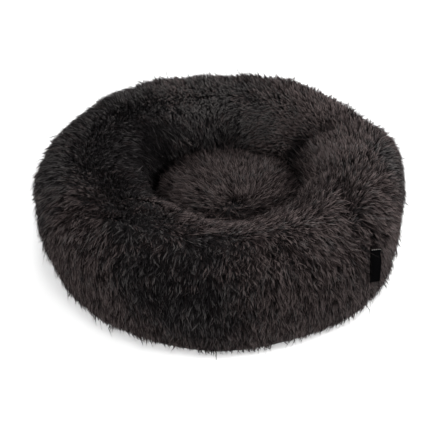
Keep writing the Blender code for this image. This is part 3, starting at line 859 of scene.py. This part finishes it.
def folded(piece, layer):
    """Draws a layer of the rim, so far under the pile's surface, in towards the tube's middle."""
    middle_radius, middle_height = tube_middle()
    points = points_of(piece)
    _, outwards, _ = bearing_frame(points)
    inwards = outwards * middle_radius - points
    inwards[:, 2] = middle_height - points[:, 2]
    depth, _ = fold_depth(points - unit(inwards) * layer)
    set_points(piece, points + unit(inwards) * depth[:, None])
    return piece


def dented(piece):
    """Lowers a layer of the cushion under its fold, and less so near its bottom."""
    points = points_of(piece)
    depth, _ = fold_depth(points * np.array([1, 1, 0]), CUSHION_CREASES)
    share = np.clip(points[:, 2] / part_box("cushion_cover")[1].z, 0, 1)
    set_points(piece, points - np.outer(depth * share, (0, 0, 1)))
    return piece


def settled(piece, drop):
    """Draws a layer of the cushion in from its cover: down on top, and inwards at its foot."""
    points = points_of(piece)
    radii = np.hypot(points[:, 0], points[:, 1])
    foot = np.clip((0.035 - points[:, 2]) / 0.020, 0, 1)
    points[:, :2] *= (1 - 0.010 * foot / np.maximum(radii, 0.05))[:, None]
    points[:, 2] -= drop * np.clip(points[:, 2] / 0.1, 0, 1)
    set_points(piece, points)
    return piece


def within(piece, gap):
    """Keeps a layer of the rim this far inside the rim's backing."""
    tree = tree_of(bpy.data.objects["rim_backing"])
    middle_radius, middle_height = tube_middle()
    points = points_of(piece)
    _, outwards, _ = bearing_frame(points)
    middles = outwards * middle_radius + np.array([0, 0, middle_height])
    courses, reach = unit(points - middles), np.linalg.norm(points - middles, axis=1)
    for k, (middle, course) in enumerate(zip(middles, courses)):
        wall = tree.ray_cast(Vector(middle), Vector(course))[3]
        if wall:
            reach[k] = min(reach[k], wall - gap)
    set_points(piece, middles + courses * reach[:, None])
    return piece


def rim_backing(plush):
    """The rim's knitted backing, one skin from the two covers' outer faces."""
    middle_radius, middle_height = tube_middle()

    def outside(centres, normals):
        _, outwards, _ = bearing_frame(centres)
        away = centres - outwards * middle_radius
        away[:, 2] -= middle_height
        return (unit(away) * normals).sum(axis=1) > 0.25

    front, back = (copy_of(node, node + "_skin") for node in ("rim_cover_front", "rim_cover_back"))
    for half in (front, back):
        kept_faces(half, outside)
    only(front)
    back.select_set(True)
    bpy.ops.object.join()
    front.name = "rim_backing"
    in_edit_mode(
        front,
        lambda: bpy.ops.mesh.remove_doubles(threshold=0.0008),
        lambda: bpy.ops.mesh.tris_convert_to_quads(face_threshold=1.2, shape_threshold=1.2),
        lambda: bpy.ops.mesh.normals_make_consistent(inside=False),
    )
    modified(front, "SUBSURF", levels=2, render_levels=2)
    sunk(front, plush.backing_depth)
    stuffed(front, 3.0, 0.002)
    return folded(front, plush.backing_depth)


def cushion_backing(plush):
    """The cushion's knitted backing, from the cover's outer faces."""
    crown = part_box("cushion_cover")[1].z

    def outside(centres, normals):
        _, outwards, _ = bearing_frame(centres)
        away = centres * np.array([1, 1, 0]) + np.array([0, 0, 0.35 * crown])
        away[:, 2] = centres[:, 2] * 0.6
        return (unit(away) * normals).sum(axis=1) > 0.05

    skin = kept_faces(copy_of("cushion_cover", "cushion_backing"), outside)
    in_edit_mode(
        skin,
        lambda: bpy.ops.mesh.tris_convert_to_quads(face_threshold=1.2, shape_threshold=1.2),
        lambda: bpy.ops.mesh.normals_make_consistent(inside=False),
    )
    modified(skin, "SUBSURF", levels=2, render_levels=2)
    sunk(skin, plush.backing_depth * 0.9)
    return dented(stuffed(skin, 3.0, 0.004))


def thickened(piece, thickness):
    """Gives an open skin its wall, inwards."""
    modified(piece, "SOLIDIFY", thickness=thickness, offset=-1)
    piece.data.shade_smooth()
    return piece


# Operators


class BED_OT_rim_plush(bpy.types.Operator):
    """Makes the rim's backing and its pile, in sectors of each cover"""

    bl_idname = "bed.rim_plush"
    bl_label = "Rim plush"
    sectors = 6
    seam_bearing = -37.5
    lowest_root = 0.016
    stray_share = 0.05
    stray_growth = 1.35
    # How much lower and longer the pile is where it is brushed flat, and how much painted shade
    # darkens a fold.
    flattened = 0.45
    stretched = 0.9
    fold_shade = 0.34
    # The pile stands on the crest and hangs on the walls: tilts, and shares of its rise and run.
    rise_by_tilt = ((-90, 20, 60, 80, 105, 130, 270), (0.90, 0.85, 0.95, 1.15, 1.15, 0.85, 0.80))
    run_by_tilt = ((-90, 20, 60, 80, 105, 130, 270), (1.15, 1.10, 0.95, 0.60, 0.60, 0.85, 0.90))
    tones_by_tilt = ((-90, 70, 90, 270), (1.9, 1.9, 1.15, 1.15))
    lying_by_tilt = ((-90, 30, 55, 115, 130, 270), (0, 0, 1, 1, 0, 0))

    def execute(self, context):
        plush = context.scene.bed_plush
        rng = np.random.RandomState(101)
        skin = rim_backing(plush)
        roots, normals = scattered(skin, plush.lock_spacing, rng)
        shown = roots[:, 2] > self.lowest_root
        _, outwards, _ = bearing_frame(roots)
        in_well = (normals * outwards).sum(axis=1) < 0
        shown &= ~(in_well & (roots[:, 2] < WELL_SHOWN))
        roots, normals = roots[shown], normals[shown]
        bearings, _, _ = bearing_frame(roots)
        courses, lean = rim_comb(roots, normals)
        courses = turned(courses, normals, rng.normal(0, COURSE_SPREAD, len(roots)))
        lift = 1 + 0.16 * waves(roots, 0.06, 31) + rng.normal(0, 0.12, len(roots))
        tilt = tilt_of(roots, normals)
        rise = plush.pile_rise * lift * np.interp(tilt, *self.rise_by_tilt)
        run = plush.pile_run * lean * (2 - lift) * rng.uniform(0.85, 1.15, len(roots))
        run *= np.interp(tilt, *self.run_by_tilt)
        lying = np.interp(combed_tilt(roots, normals), *self.lying_by_tilt)
        lying *= np.maximum(*self.brushed(np.radians(bearings)))
        rise *= 1 - self.flattened * lying
        run *= 1 + self.stretched * lying
        stray = np.where(rng.random_sample(len(roots)) < self.stray_share, self.stray_growth, 1)
        rise, run = self.pressed(roots, courses, rise * stray, run * stray)
        tone, cool = patched(roots, RIM_TONE_AND_PAINTED_LIGHT, 41)
        # Strands near a fold get painted shade in their tone.
        _, near_fold = fold_depth(roots + normals * plush.backing_depth)
        uneven = plush.lock_tones * np.interp(tilt, *self.tones_by_tilt)
        tone += rng.normal(0, 1, len(roots)) * uneven - self.fold_shade * near_fold
        pile = shared("plush_pile", plush_finish, plush)
        turn = (bearings - self.seam_bearing) % 360
        for k in range(2 * self.sectors):
            cover = "rim_cover_back" if k < self.sectors else "rim_cover_front"
            word = "back" if k < self.sectors else "front"
            part = np.floor(turn / 180 * self.sectors) == k
            name = f"rim_pile_{word}_{k % self.sectors + 1}"
            chosen = (values[part] for values in (roots, normals, courses, rise, run, tone, cool))
            made = locks(name, *chosen, plush, rng)
            dressed(made, pile, replaces=(cover,))
        thickened(skin, 0.001)
        covers = ("rim_cover_front", "rim_cover_back")
        dressed(skin, backing_finish(), replaces=covers)
        return {"FINISHED"}

    def brushed(self, turn):
        """How flat the crest is brushed in front and on the left, 0 to 1."""
        return np.clip(-1.6 * np.sin(turn) - 0.2, 0, 1), 0.6 * np.clip(-np.cos(turn), 0, 1)

    def pressed(self, roots, courses, rise, run):
        """Keeps the pile under the two labels short."""
        for node in ("side_label", "care_label"):
            middle, across, down, out, half_width, half_length = label_frame(node)
            tips = roots + courses * run[:, None] * 0.7 - middle
            x, y = tips @ across, tips @ down
            under = (np.abs(y) < half_length + 0.004) & (tips @ out > -0.04)
            under &= (x > -half_width - 0.002) & (x < half_width + 0.006)
            rise = np.where(under, rise * 0.4, rise)
            run = np.where(under, run * 0.7, run)
        return rise, run


# Where the pile's tone changes, partly its own tone and partly painted light and shade: painted
# shade on the left and in the folds' pockets, and painted light on the right and on lit edges.
# The columns: the middle of a soft patch, its reach along X, Y and Z, how much paler it is, and
# how much cooler.
RIM_TONE_AND_PAINTED_LIGHT = (
    ((-0.150, 0.080, 0.16), (0.150, 0.180, 0.12), 0.00, 1.0),
    ((-0.250, -0.020, 0.18), (0.040, 0.100, 0.09), -0.06, 1.0),
    ((-0.190, 0.040, 0.19), (0.045, 0.110, 0.06), -0.22, 1.0),
    ((-0.120, 0.050, 0.14), (0.055, 0.120, 0.09), -0.36, 1.0),
    ((-0.140, 0.110, 0.18), (0.055, 0.040, 0.06), -0.18, 1.0),
    ((-0.140, 0.165, 0.20), (0.080, 0.040, 0.05), 0.30, 1.0),
    ((-0.032, 0.166, 0.185), (0.035, 0.022, 0.03), 0.32, 1.0),
    ((-0.185, 0.000, 0.19), (0.050, 0.050, 0.04), -0.10, 1.0),
    ((-0.150, -0.080, 0.19), (0.040, 0.060, 0.06), -0.30, 1.0),
    ((-0.140, -0.015, 0.17), (0.042, 0.050, 0.04), -0.26, 1.0),
    ((-0.174, -0.176, 0.18), (0.035, 0.032, 0.04), -0.32, 0.3),
    ((-0.268, -0.095, 0.15), (0.028, 0.045, 0.05), -0.28, 0.3),
    ((0.087, -0.208, 0.19), (0.060, 0.030, 0.03), -0.30, 0.2),
    ((0.030, -0.275, 0.12), (0.055, 0.040, 0.05), -0.16, 0.4),
    ((-0.032, 0.205, 0.19), (0.040, 0.040, 0.03), 0.30, 1.0),
    ((0.150, 0.125, 0.18), (0.035, 0.035, 0.03), 0.30, 0.0),
    ((-0.120, -0.165, 0.18), (0.045, 0.045, 0.06), -0.16, 1.0),
    ((-0.105, -0.245, 0.15), (0.055, 0.060, 0.07), -0.46, 1.0),
    ((-0.040, -0.270, 0.12), (0.080, 0.060, 0.08), -0.30, 1.0),
    ((-0.030, -0.222, 0.18), (0.065, 0.035, 0.04), -0.30, 0.9),
    ((0.000, 0.150, 0.17), (0.115, 0.060, 0.09), 0.20, 1.0),
    ((0.000, 0.190, 0.20), (0.100, 0.040, 0.04), 0.58, 1.0),
    ((0.090, 0.130, 0.15), (0.045, 0.045, 0.06), 0.46, 0.2),
    ((0.170, 0.150, 0.19), (0.080, 0.060, 0.06), 0.50, 0.0),
    ((0.190, 0.020, 0.18), (0.060, 0.080, 0.06), 0.52, 0.0),
    # Painted shadow in the pocket of the back right fold.
    ((0.135, 0.088, 0.14), (0.024, 0.032, 0.04), -0.60, 0.9),
    ((0.265, 0.000, 0.18), (0.030, 0.045, 0.06), 0.12, 1.0),
    # Painted light on the right edge, where the key lamp falls.
    ((0.255, -0.155, 0.14), (0.026, 0.050, 0.05), 0.75, 0.0),
    ((0.150, -0.175, 0.19), (0.040, 0.055, 0.04), 0.22, 0.0),
    ((0.050, -0.190, 0.19), (0.110, 0.035, 0.03), 0.16, 0.0),
    # The front left lip's pale fringe, partly painted highlight.
    ((-0.075, -0.115, 0.17), (0.055, 0.028, 0.04), 0.40, 0.0),
    ((-0.220, -0.195, 0.10), (0.080, 0.050, 0.10), 0.18, 0.0),
    ((0.190, -0.230, 0.05), (0.110, 0.060, 0.05), 0.22, 0.0),
)
# The cushion's patches, with the same columns: the first three are painted shade in the hollows
# beside the lip and the wall, and the last is paler over its middle.
CUSHION_TONE_AND_PAINTED_LIGHT = (
    ((0.048, -0.064, 0.12), (0.045, 0.024, 0.03), -0.45, 0.0),
    ((-0.070, 0.058, 0.12), (0.035, 0.024, 0.04), -0.30, 0.3),
    ((-0.100, 0.000, 0.12), (0.025, 0.060, 0.04), -0.10, 0.3),
    ((-0.010, 0.000, 0.13), (0.110, 0.085, 0.05), 0.32, 0.0),
)


def patched(points, patches, seed):
    """Tone, 0 to 1, and the share of cool strands, with soft patches of tone and of painted light and
    shade over low noise.
    """
    tone = 0.42 + 0.11 * waves(points, 0.12, seed) + 0.10 * waves(points, 0.04, seed + 1)
    tone += 0.12 * waves(points, 0.020, seed + 3)
    cool = np.full(len(points), 0.12)
    for place, reach, paler, cooler in patches:
        away = np.linalg.norm((points - np.array(place)) / np.array(reach), axis=1)
        near = np.exp(-(away**3))
        tone += paler * near
        cool = np.maximum(cool, cooler * near)
    cool = np.clip(cool + 0.25 * waves(points, 0.03, seed + 2), 0, 1)
    return tone, cool


class BED_OT_cushion_plush(bpy.types.Operator):
    """Makes the cushion's backing and its pile"""

    bl_idname = "bed.cushion_plush"
    bl_label = "Cushion plush"
    swirl = (0.024, -0.042, 0.0)

    def execute(self, context):
        plush = context.scene.bed_plush
        rng = np.random.RandomState(202)
        skin = cushion_backing(plush)
        roots, normals = scattered(skin, plush.lock_spacing, rng)
        shown = roots[:, 2] > WELL_SHOWN
        roots, normals = roots[shown], normals[shown]
        courses = cushion_comb(roots, normals, self.swirl)
        courses = turned(courses, normals, rng.normal(0, COURSE_SPREAD, len(roots)))
        lift = 1 + 0.15 * waves(roots, 0.05, 32) + rng.normal(0, 0.10, len(roots))
        rise = plush.pile_rise * lift * 0.9
        run = plush.pile_run * (2 - lift) * rng.uniform(0.85, 1.15, len(roots))
        tone, cool = patched(roots, CUSHION_TONE_AND_PAINTED_LIGHT, 43)
        tone += rng.normal(0, plush.lock_tones, len(roots))
        made = locks("cushion_pile", roots, normals, courses, rise, run, tone, cool, plush, rng)
        pile = shared("plush_pile", plush_finish, plush)
        dressed(made, pile, replaces=("cushion_cover",))
        thickened(skin, 0.001)
        dressed(skin, backing_finish(), replaces=("cushion_cover",))
        return {"FINISHED"}


def outline_of_base():
    """The base cloth's edge, as a radius for each bearing."""
    points = np.concatenate([points_of(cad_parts[node]) for node in BASE_PANELS])
    bearings, _, _ = bearing_frame(points)
    radii = np.hypot(points[:, 0], points[:, 1])
    edge = radii > 0.9 * radii.max()
    order = np.argsort(bearings[edge])
    return bearings[edge][order], radii[edge][order]


def evened(points, bearings, radii):
    """Draws the base cloth's edge onto one smooth line, so that its two halves meet."""
    own, _, _ = bearing_frame(points)
    away = (own[:, None] - bearings + 180) % 360 - 180
    weights = np.exp(-((away / 8) ** 2))
    smooth = (weights * radii).sum(axis=1) / weights.sum(axis=1)
    reach = np.hypot(points[:, 0], points[:, 1])
    points[:, :2] *= np.where(reach > 0.9 * radii.max(), smooth / reach, 1)[:, None]
    return points


def repeated(name, template, places):
    """One piece from a small shape that is repeated at many places, each copy with its own mesh."""
    shape = points_of(template)
    faces = [list(face.vertices) for face in template.data.polygons]
    count, size = len(places), len(shape)
    points = (shape[None] + np.asarray(places)[:, None]).reshape(-1, 3)
    mesh = bpy.data.meshes.new(name)
    all_faces = [[v + k * size for v in face] for k in range(count) for face in faces]
    mesh.from_pydata(points.tolist(), [], all_faces)
    bpy.data.objects.remove(template)
    piece = bpy.data.objects.new(name, mesh)
    bpy.context.scene.collection.objects.link(piece)
    mesh.shade_smooth()
    return piece


def small_ball(segments, rings, size):
    """A ball stretched to a size, with its place and scale in its mesh."""
    bpy.ops.object.select_all(action="DESELECT")
    bpy.ops.mesh.primitive_uv_sphere_add(segments=segments, ring_count=rings, radius=0.5)
    ball = bpy.context.object
    set_points(ball, points_of(ball) * np.array(size))
    return ball


class BED_OT_base(bpy.types.Operator):
    """Makes the two halves of the base cloth, with their non-slip dots and hem stitches"""

    bl_idname = "bed.base"
    bl_label = "Base cloth"
    dot_margin = 0.010
    hem_width = 0.018

    def execute(self, context):
        trim = context.scene.bed_trim
        colour_of_base = tuple(trim.base_colour)
        cloth = shared("base_weave", knit_finish, "base_weave", colour_of_base, 0.75, 2200.0)
        rubber = shared("base_dots", rubber_finish)
        thread = shared("base_thread", thread_finish, "base_thread", (0.075, 0.075, 0.078))
        bearings, radii = outline_of_base()
        for node, side in zip(BASE_PANELS, (-1, 1)):
            panel = merged_flats(copy_of(node, node + "_cloth"), 2)
            points = evened(points_of(panel), bearings, radii)
            points[:, 2] = np.where(points[:, 2] < 1e-5, trim.dot_height, points[:, 2])
            set_points(panel, points)
            panel.data.shade_flat()
            dressed(panel, cloth, replaces=(node,))
            dots = self.dots(node, side, trim, bearings, radii)
            dressed(dots, rubber, replaces=(node,))
            stitches = self.hem(node, side, trim)
            dressed(stitches, thread, replaces=(node,))
        return {"FINISHED"}

    def dots(self, node, side, trim, bearings, radii):
        """Dots in staggered rows, within the cloth's edge and clear of the hem."""
        step = trim.dot_spacing
        reach = int(radii.max() / step) + 2
        places = []
        for row in range(2 * reach):
            y = self.hem_width + (row + 0.5) * step * math.sqrt(3) / 2
            for column in range(-reach, reach + 1):
                x = (column + 0.5 * (row % 2)) * step
                bearing = math.degrees(math.atan2(side * y, x))
                if math.hypot(x, y) < np.interp(bearing, bearings, radii) - self.dot_margin:
                    places.append((x, side * y, trim.dot_height))
        ball = small_ball(7, 3, (trim.dot_size, trim.dot_size, 2 * trim.dot_height))
        return repeated(node + "_dots", ball, places)

    def hem(self, node, side, trim):
        """A row of stitches along the zip's hem."""
        low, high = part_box("zip_tape_front")
        step = trim.stitch_length * 1.4
        count = int((high.x - low.x) / step)
        start = -step * (count - 1) / 2
        y = side * (high.y - low.y + 0.5 * self.hem_width * 0.5)
        places = [(start + step * k, y, trim.dot_height) for k in range(count)]
        ball = small_ball(8, 4, (trim.stitch_length, trim.stitch_width, trim.stitch_width))
        return repeated(node + "_stitches", ball, places)


class BED_OT_zip(bpy.types.Operator):
    """Makes the zip's tapes, coils, stops, slider and puller"""

    bl_idname = "bed.zip"
    bl_label = "Zip"
    metal_round = 0.00018
    coil_wire = 0.0007

    def execute(self, context):
        trim = context.scene.bed_trim
        tape = shared("tape_weave", knit_finish, "tape_weave", (0.018, 0.018, 0.019), 0.8, 3000.0)
        coil, metal = shared("coil_nylon", coil_finish), shared("dark_metal", metal_finish)
        for side, word in ((-1, "front"), (1, "back")):
            self.tape("zip_tape_" + word, tape)
            self.coil("zip_coil_" + word, side, trim, coil)
            self.cast("zip_top_stop_" + word, "bed", metal)
        self.cast("zip_bottom_stop", "bed", metal)
        self.cast("zip_slider", "slider", metal)
        self.cast("zip_puller", "puller", metal)
        return {"FINISHED"}

    def tape(self, node, material):
        piece = merged_flats(copy_of(node, node + "_woven"), 2)
        modified(piece, "BEVEL", width=0.00015, segments=2)
        dressed(piece, material, replaces=(node,))

    def coil(self, node, side, trim, material):
        """Turns of a flattened coil, half a pitch from the other row's."""
        low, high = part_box(node)
        back = max(abs(low.y), abs(high.y))
        depth, height = back - trim.tooth_reach, high.z - low.z
        bpy.ops.object.select_all(action="DESELECT")
        bpy.ops.mesh.primitive_torus_add(
            major_segments=10,
            minor_segments=4,
            major_radius=0.5,
            minor_radius=0.5 * self.coil_wire / height,
        )
        turn = bpy.context.object
        points = points_of(turn)
        outer = np.abs(points[:, :2]).max()
        wide = points[:, 2] / np.abs(points[:, 2]).max() * self.coil_wire / 2
        y = side * (trim.tooth_reach + depth / 2) + points[:, 0] / outer * depth / 2
        z = (low.z + high.z) / 2 + points[:, 1] / outer * height / 2
        set_points(turn, np.column_stack([wide, y, z]))
        count = int((high.x - low.x - trim.tooth_pitch) / trim.tooth_pitch)
        start = -trim.tooth_pitch * (count - 1) / 2 + side * trim.tooth_pitch / 4
        places = [(start + trim.tooth_pitch * k, 0, 0) for k in range(count)]
        piece = repeated(node + "_turns", turn, places)
        in_edit_mode(piece, lambda: bpy.ops.mesh.normals_make_consistent(inside=False))
        dressed(piece, material, replaces=(node,))

    def cast(self, node, body, material):
        piece = merged_flats(copy_of(node, node + "_cast"), 4)
        modified(piece, "BEVEL", width=self.metal_round, segments=2, limit_method="ANGLE")
        only(piece)
        bpy.ops.object.shade_smooth_by_angle(angle=math.radians(50))
        dressed(piece, material, body=body, replaces=(node,))


def label_frame(node, share=1.0):
    """A label's middle, its directions across, down and outwards, and half its width and length.

    With a share, it is the part of the label's width beside its left edge.
    """
    points = points_of(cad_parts[node])
    middle = points.mean(axis=0)
    _, _, axes = np.linalg.svd(points - middle, full_matrices=False)
    down = axes[0] if axes[0][2] < 0 else -axes[0]
    out = axes[2] if axes[2] @ (middle * np.array([1, 1, 0])) > 0 else -axes[2]
    across = np.cross(down, out)
    reach = points - middle
    half_width = np.abs(reach @ across).max()
    middle = middle + across * half_width * (1 - share) * LABEL_SHIFT
    return middle, across, down, out, half_width * share, np.abs(reach @ down).max()


def surface_of(node):
    """Puts places onto the outside of a frame node."""
    tree = tree_of(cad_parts[node])

    def onto(spot, out):
        place = tree.ray_cast(Vector(spot + out * 0.05), Vector(-out))[0]
        return np.array(place) if place else spot

    return onto


def label_loop(node, name, trim, share, turn, sink, columns=12, rows=30):
    """A strip of woven tape, folded into a loop where the frame's label lies.

    Its edge in the direction of rising bearings stands off the pile by the turn, and its other
    edge lies in the pile by the sink.
    """
    middle, across, down, out, half_width, half_length = label_frame(node, share)
    onto = surface_of(node)
    bpy.ops.object.select_all(action="DESELECT")
    bpy.ops.mesh.primitive_grid_add(x_subdivisions=columns, y_subdivisions=2 * rows, size=2)
    loop = bpy.context.object
    loop.name = name
    places = []
    for x, y, _ in points_of(loop):
        spot = middle + across * (x * half_width * 0.985)
        spot = spot + down * ((1 - 2 * abs(y)) * half_length * 0.985)
        base = onto(spot, out)
        free = (1 - abs(y)) ** 2
        side = math.copysign(min(abs(y) / 0.08, 1) ** 0.5, -y) if y else 0
        away = trim.label_loop * (0.35 + 0.5 * side) + trim.label_lift * free
        away += turn * (1 - x) / 2 - sink * (1 + x) / 2
        places.append(base + out * away)
    set_points(loop, places)
    loop.data.uv_layers[0].name = "weave"
    return thickened(loop, trim.label_sheet)


class BED_OT_labels(bpy.types.Operator):
    """Makes the side label with its stitches, and the care label"""

    bl_idname = "bed.labels"
    bl_label = "Labels"
    stitches = 5
    black_thread = (0.0036, 0.0036, 0.0039)
    white_thread = (0.86, 0.86, 0.85)
    gloss = 0.5

    def execute(self, context):
        trim = context.scene.bed_trim
        colours = tuple(trim.label_colour), self.black_thread
        satin = shared("black_label", label_finish, "black_label", *colours, self.gloss)
        turned_out = (trim.label_share, trim.label_turn, trim.label_sink)
        side = label_loop("side_label", "side_label_loop", trim, *turned_out)
        dressed(side, satin, replaces=("side_label",))
        colours = tuple(trim.care_colour), self.white_thread
        white = shared("white_label", label_finish, "white_label", *colours, self.gloss)
        care = label_loop("care_label", "care_label_loop", trim, 1, 0, 0)
        dressed(care, white, replaces=("care_label",))
        place = label_frame("side_label", trim.label_share)
        middle, across, down, out, half_width, half_length = place
        onto = surface_of("side_label")
        thread = shared("label_thread", thread_finish, "label_thread", tuple(trim.thread_colour))
        step = 2 * half_width / self.stitches
        places = []
        for k in range(self.stitches):
            spot = middle + across * (step * (k + 0.5) - half_width) - down * half_length
            share = (k + 0.5) / self.stitches
            turn = trim.label_turn * (1 - share) - trim.label_sink * share
            places.append(onto(spot, out) + out * (trim.label_loop * 1.3 + turn))
        ball = small_ball(8, 6, (step * 0.8, trim.stitch_width, trim.stitch_width))
        across = unit(across - out * (trim.label_turn + trim.label_sink) / (2 * half_width))
        turn = np.array([across, down, np.cross(across, down)])
        set_points(ball, points_of(ball) @ turn)
        stitching = repeated("side_label_stitches", ball, places)
        dressed(stitching, thread, replaces=("side_label",))
        return {"FINISHED"}


class BED_OT_inside(bpy.types.Operator):
    """Makes the lining bags and their fibre filling"""

    bl_idname = "bed.inside"
    bl_label = "Bags and filling"
    bag_layer = 0.016
    wad_layer = 0.020
    bag_gap = 0.003
    wad_gap = 0.006
    bag_drop = 0.003
    fluff_size = 0.03
    fluff_depth = 0.0016

    def execute(self, context):
        trim = context.scene.bed_trim
        colour_of_lining = tuple(trim.lining_colour)
        lining = shared("lining_weave", knit_finish, "lining_weave", colour_of_lining, 0.8, 2600.0)
        fibre = shared("fluffy_fibre", fibre_finish)
        for word in ("rim", "cushion"):
            bag = copy_of(word + "_liner", word + "_lining_bag")
            modified(bag, "SUBSURF", subdivision_type="SIMPLE", levels=1, render_levels=1)
            if word == "rim":
                folded(bag, self.bag_layer)
                within(bag, self.bag_gap)
            else:
                settled(dented(bag), self.bag_drop)
            only(bag)
            bpy.ops.object.shade_smooth_by_angle(angle=math.radians(40))
            dressed(bag, lining, replaces=(word + "_liner",))
            wad = copy_of(word + "_filling", word + "_fibre_wad")
            modified(wad, "SUBSURF", levels=2, render_levels=2)
            points = points_of(wad)
            sink = self.fluff_depth * (0.5 + 0.5 * waves(points, self.fluff_size, 61))
            set_points(wad, points - normals_of(wad) * sink[:, None])
            if word == "rim":
                folded(wad, self.wad_layer)
                within(wad, self.wad_gap)
            else:
                settled(dented(wad), self.bag_drop)
            wad.data.shade_smooth()
            dressed(wad, fibre, replaces=(word + "_filling",))
        return {"FINISHED"}


class BED_OT_stage(bpy.types.Operator):
    """Makes the floor, the lamps, the world and the camera"""

    bl_idname = "bed.stage"
    bl_label = "Stage"

    def execute(self, context):
        stage = context.scene.bed_stage
        bpy.ops.mesh.primitive_plane_add(size=60, location=(0, 0, -0.0005))
        floor = context.object
        floor.name = "studio_floor"
        floor.data.materials.append(floor_finish())
        self.lamp("key", (1.35, -0.45, 0.95), 0.9, stage.key_power)
        self.lamp("fill", (-1.35, -1.15, 0.9), 0.7, stage.fill_power)
        self.lamp("back", (0.2, 1.7, 1.0), 1.2, stage.back_power)
        self.lamp("front", (0.2, -1.3, 2.5), 0.8, stage.front_power)
        self.world(context.scene, stage.ambient)
        self.camera(context.scene, stage)
        return {"FINISHED"}

    def lamp(self, name, place, size, power):
        light = bpy.data.lights.new(name, "AREA")
        light.shape = "DISK"
        light.size = size
        light.energy = power
        lamp = bpy.data.objects.new(name, light)
        lamp.location = place
        lamp.rotation_mode = "QUATERNION"
        lamp.rotation_quaternion = (Vector((0, 0, 0.1)) - Vector(place)).to_track_quat("-Z", "Y")
        bpy.context.scene.collection.objects.link(lamp)

    def world(self, scene, ambient):
        """White to the camera, and a plain soft level for the rest."""
        world = bpy.data.worlds.new("studio")
        scene.world = world
        world.use_nodes = True
        nodes, links = world.node_tree.nodes, world.node_tree.links
        level = nodes.new("ShaderNodeMapRange")
        level.inputs["To Min"].default_value = ambient
        level.inputs["To Max"].default_value = 1.0
        links.new(background_rays(nodes, links), level.inputs["Value"])
        links.new(level.outputs["Result"], nodes["Background"].inputs["Strength"])
        nodes["Background"].inputs["Color"].default_value = (1, 1, 1, 1)

    def camera(self, scene, stage):
        """The photograph's camera, aimed so that one point lands on its pixel."""
        lens = bpy.data.cameras.new("camera")
        camera = bpy.data.objects.new("camera", lens)
        scene.collection.objects.link(camera)
        scene.camera = camera
        elevation = stage.camera_elevation
        back = Vector((0, -math.cos(elevation), math.sin(elevation)))
        camera.location = Vector((0, 0, stage.aim_height)) + back * stage.camera_distance
        camera.rotation_euler = (math.pi / 2 - elevation, 0, 0)
        lens.sensor_width = 36
        share_of_frame = stage.pixels_per_metre * stage.camera_distance / PHOTO_PIXELS
        lens.lens = share_of_frame * lens.sensor_width
        lens.shift_x = -(stage.aim_pixel[0] - PHOTO_PIXELS / 2) / PHOTO_PIXELS
        lens.shift_y = (stage.aim_pixel[1] - PHOTO_PIXELS / 2) / PHOTO_PIXELS
        lens.clip_start = 0.05
        lens.clip_end = 60
        scene.view_settings.view_transform = "Standard"


class BED_PT_panel(bpy.types.Panel):
    """Lists the bed's steps and settings"""

    bl_label = "Donut pet bed"
    bl_space_type = "VIEW_3D"
    bl_region_type = "UI"
    bl_category = "Pet Bed"

    def draw(self, context):
        for operator in OPERATORS:
            self.layout.operator(operator.bl_idname)
        for group in (context.scene.bed_plush, context.scene.bed_trim, context.scene.bed_stage):
            for name in group.__annotations__:
                self.layout.prop(group, name)


GROUPS = (PlushSettings, TrimSettings, StageSettings)
OPERATORS = (
    BED_OT_rim_plush,
    BED_OT_cushion_plush,
    BED_OT_labels,
    BED_OT_base,
    BED_OT_zip,
    BED_OT_inside,
    BED_OT_stage,
)


def register():
    for made in (*GROUPS, *OPERATORS, BED_PT_panel):
        bpy.utils.register_class(made)
    bpy.types.Scene.bed_plush = PointerProperty(type=PlushSettings)
    bpy.types.Scene.bed_trim = PointerProperty(type=TrimSettings)
    bpy.types.Scene.bed_stage = PointerProperty(type=StageSettings)


def unregister():
    del bpy.types.Scene.bed_stage
    del bpy.types.Scene.bed_trim
    del bpy.types.Scene.bed_plush
    for made in (BED_PT_panel, *reversed(OPERATORS), *reversed(GROUPS)):
        bpy.utils.unregister_class(made)


def main():
    register()
    for operator in OPERATORS:
        getattr(bpy.ops.bed, operator.bl_idname.split(".")[1])()


if __name__ == "__main__":
    main()
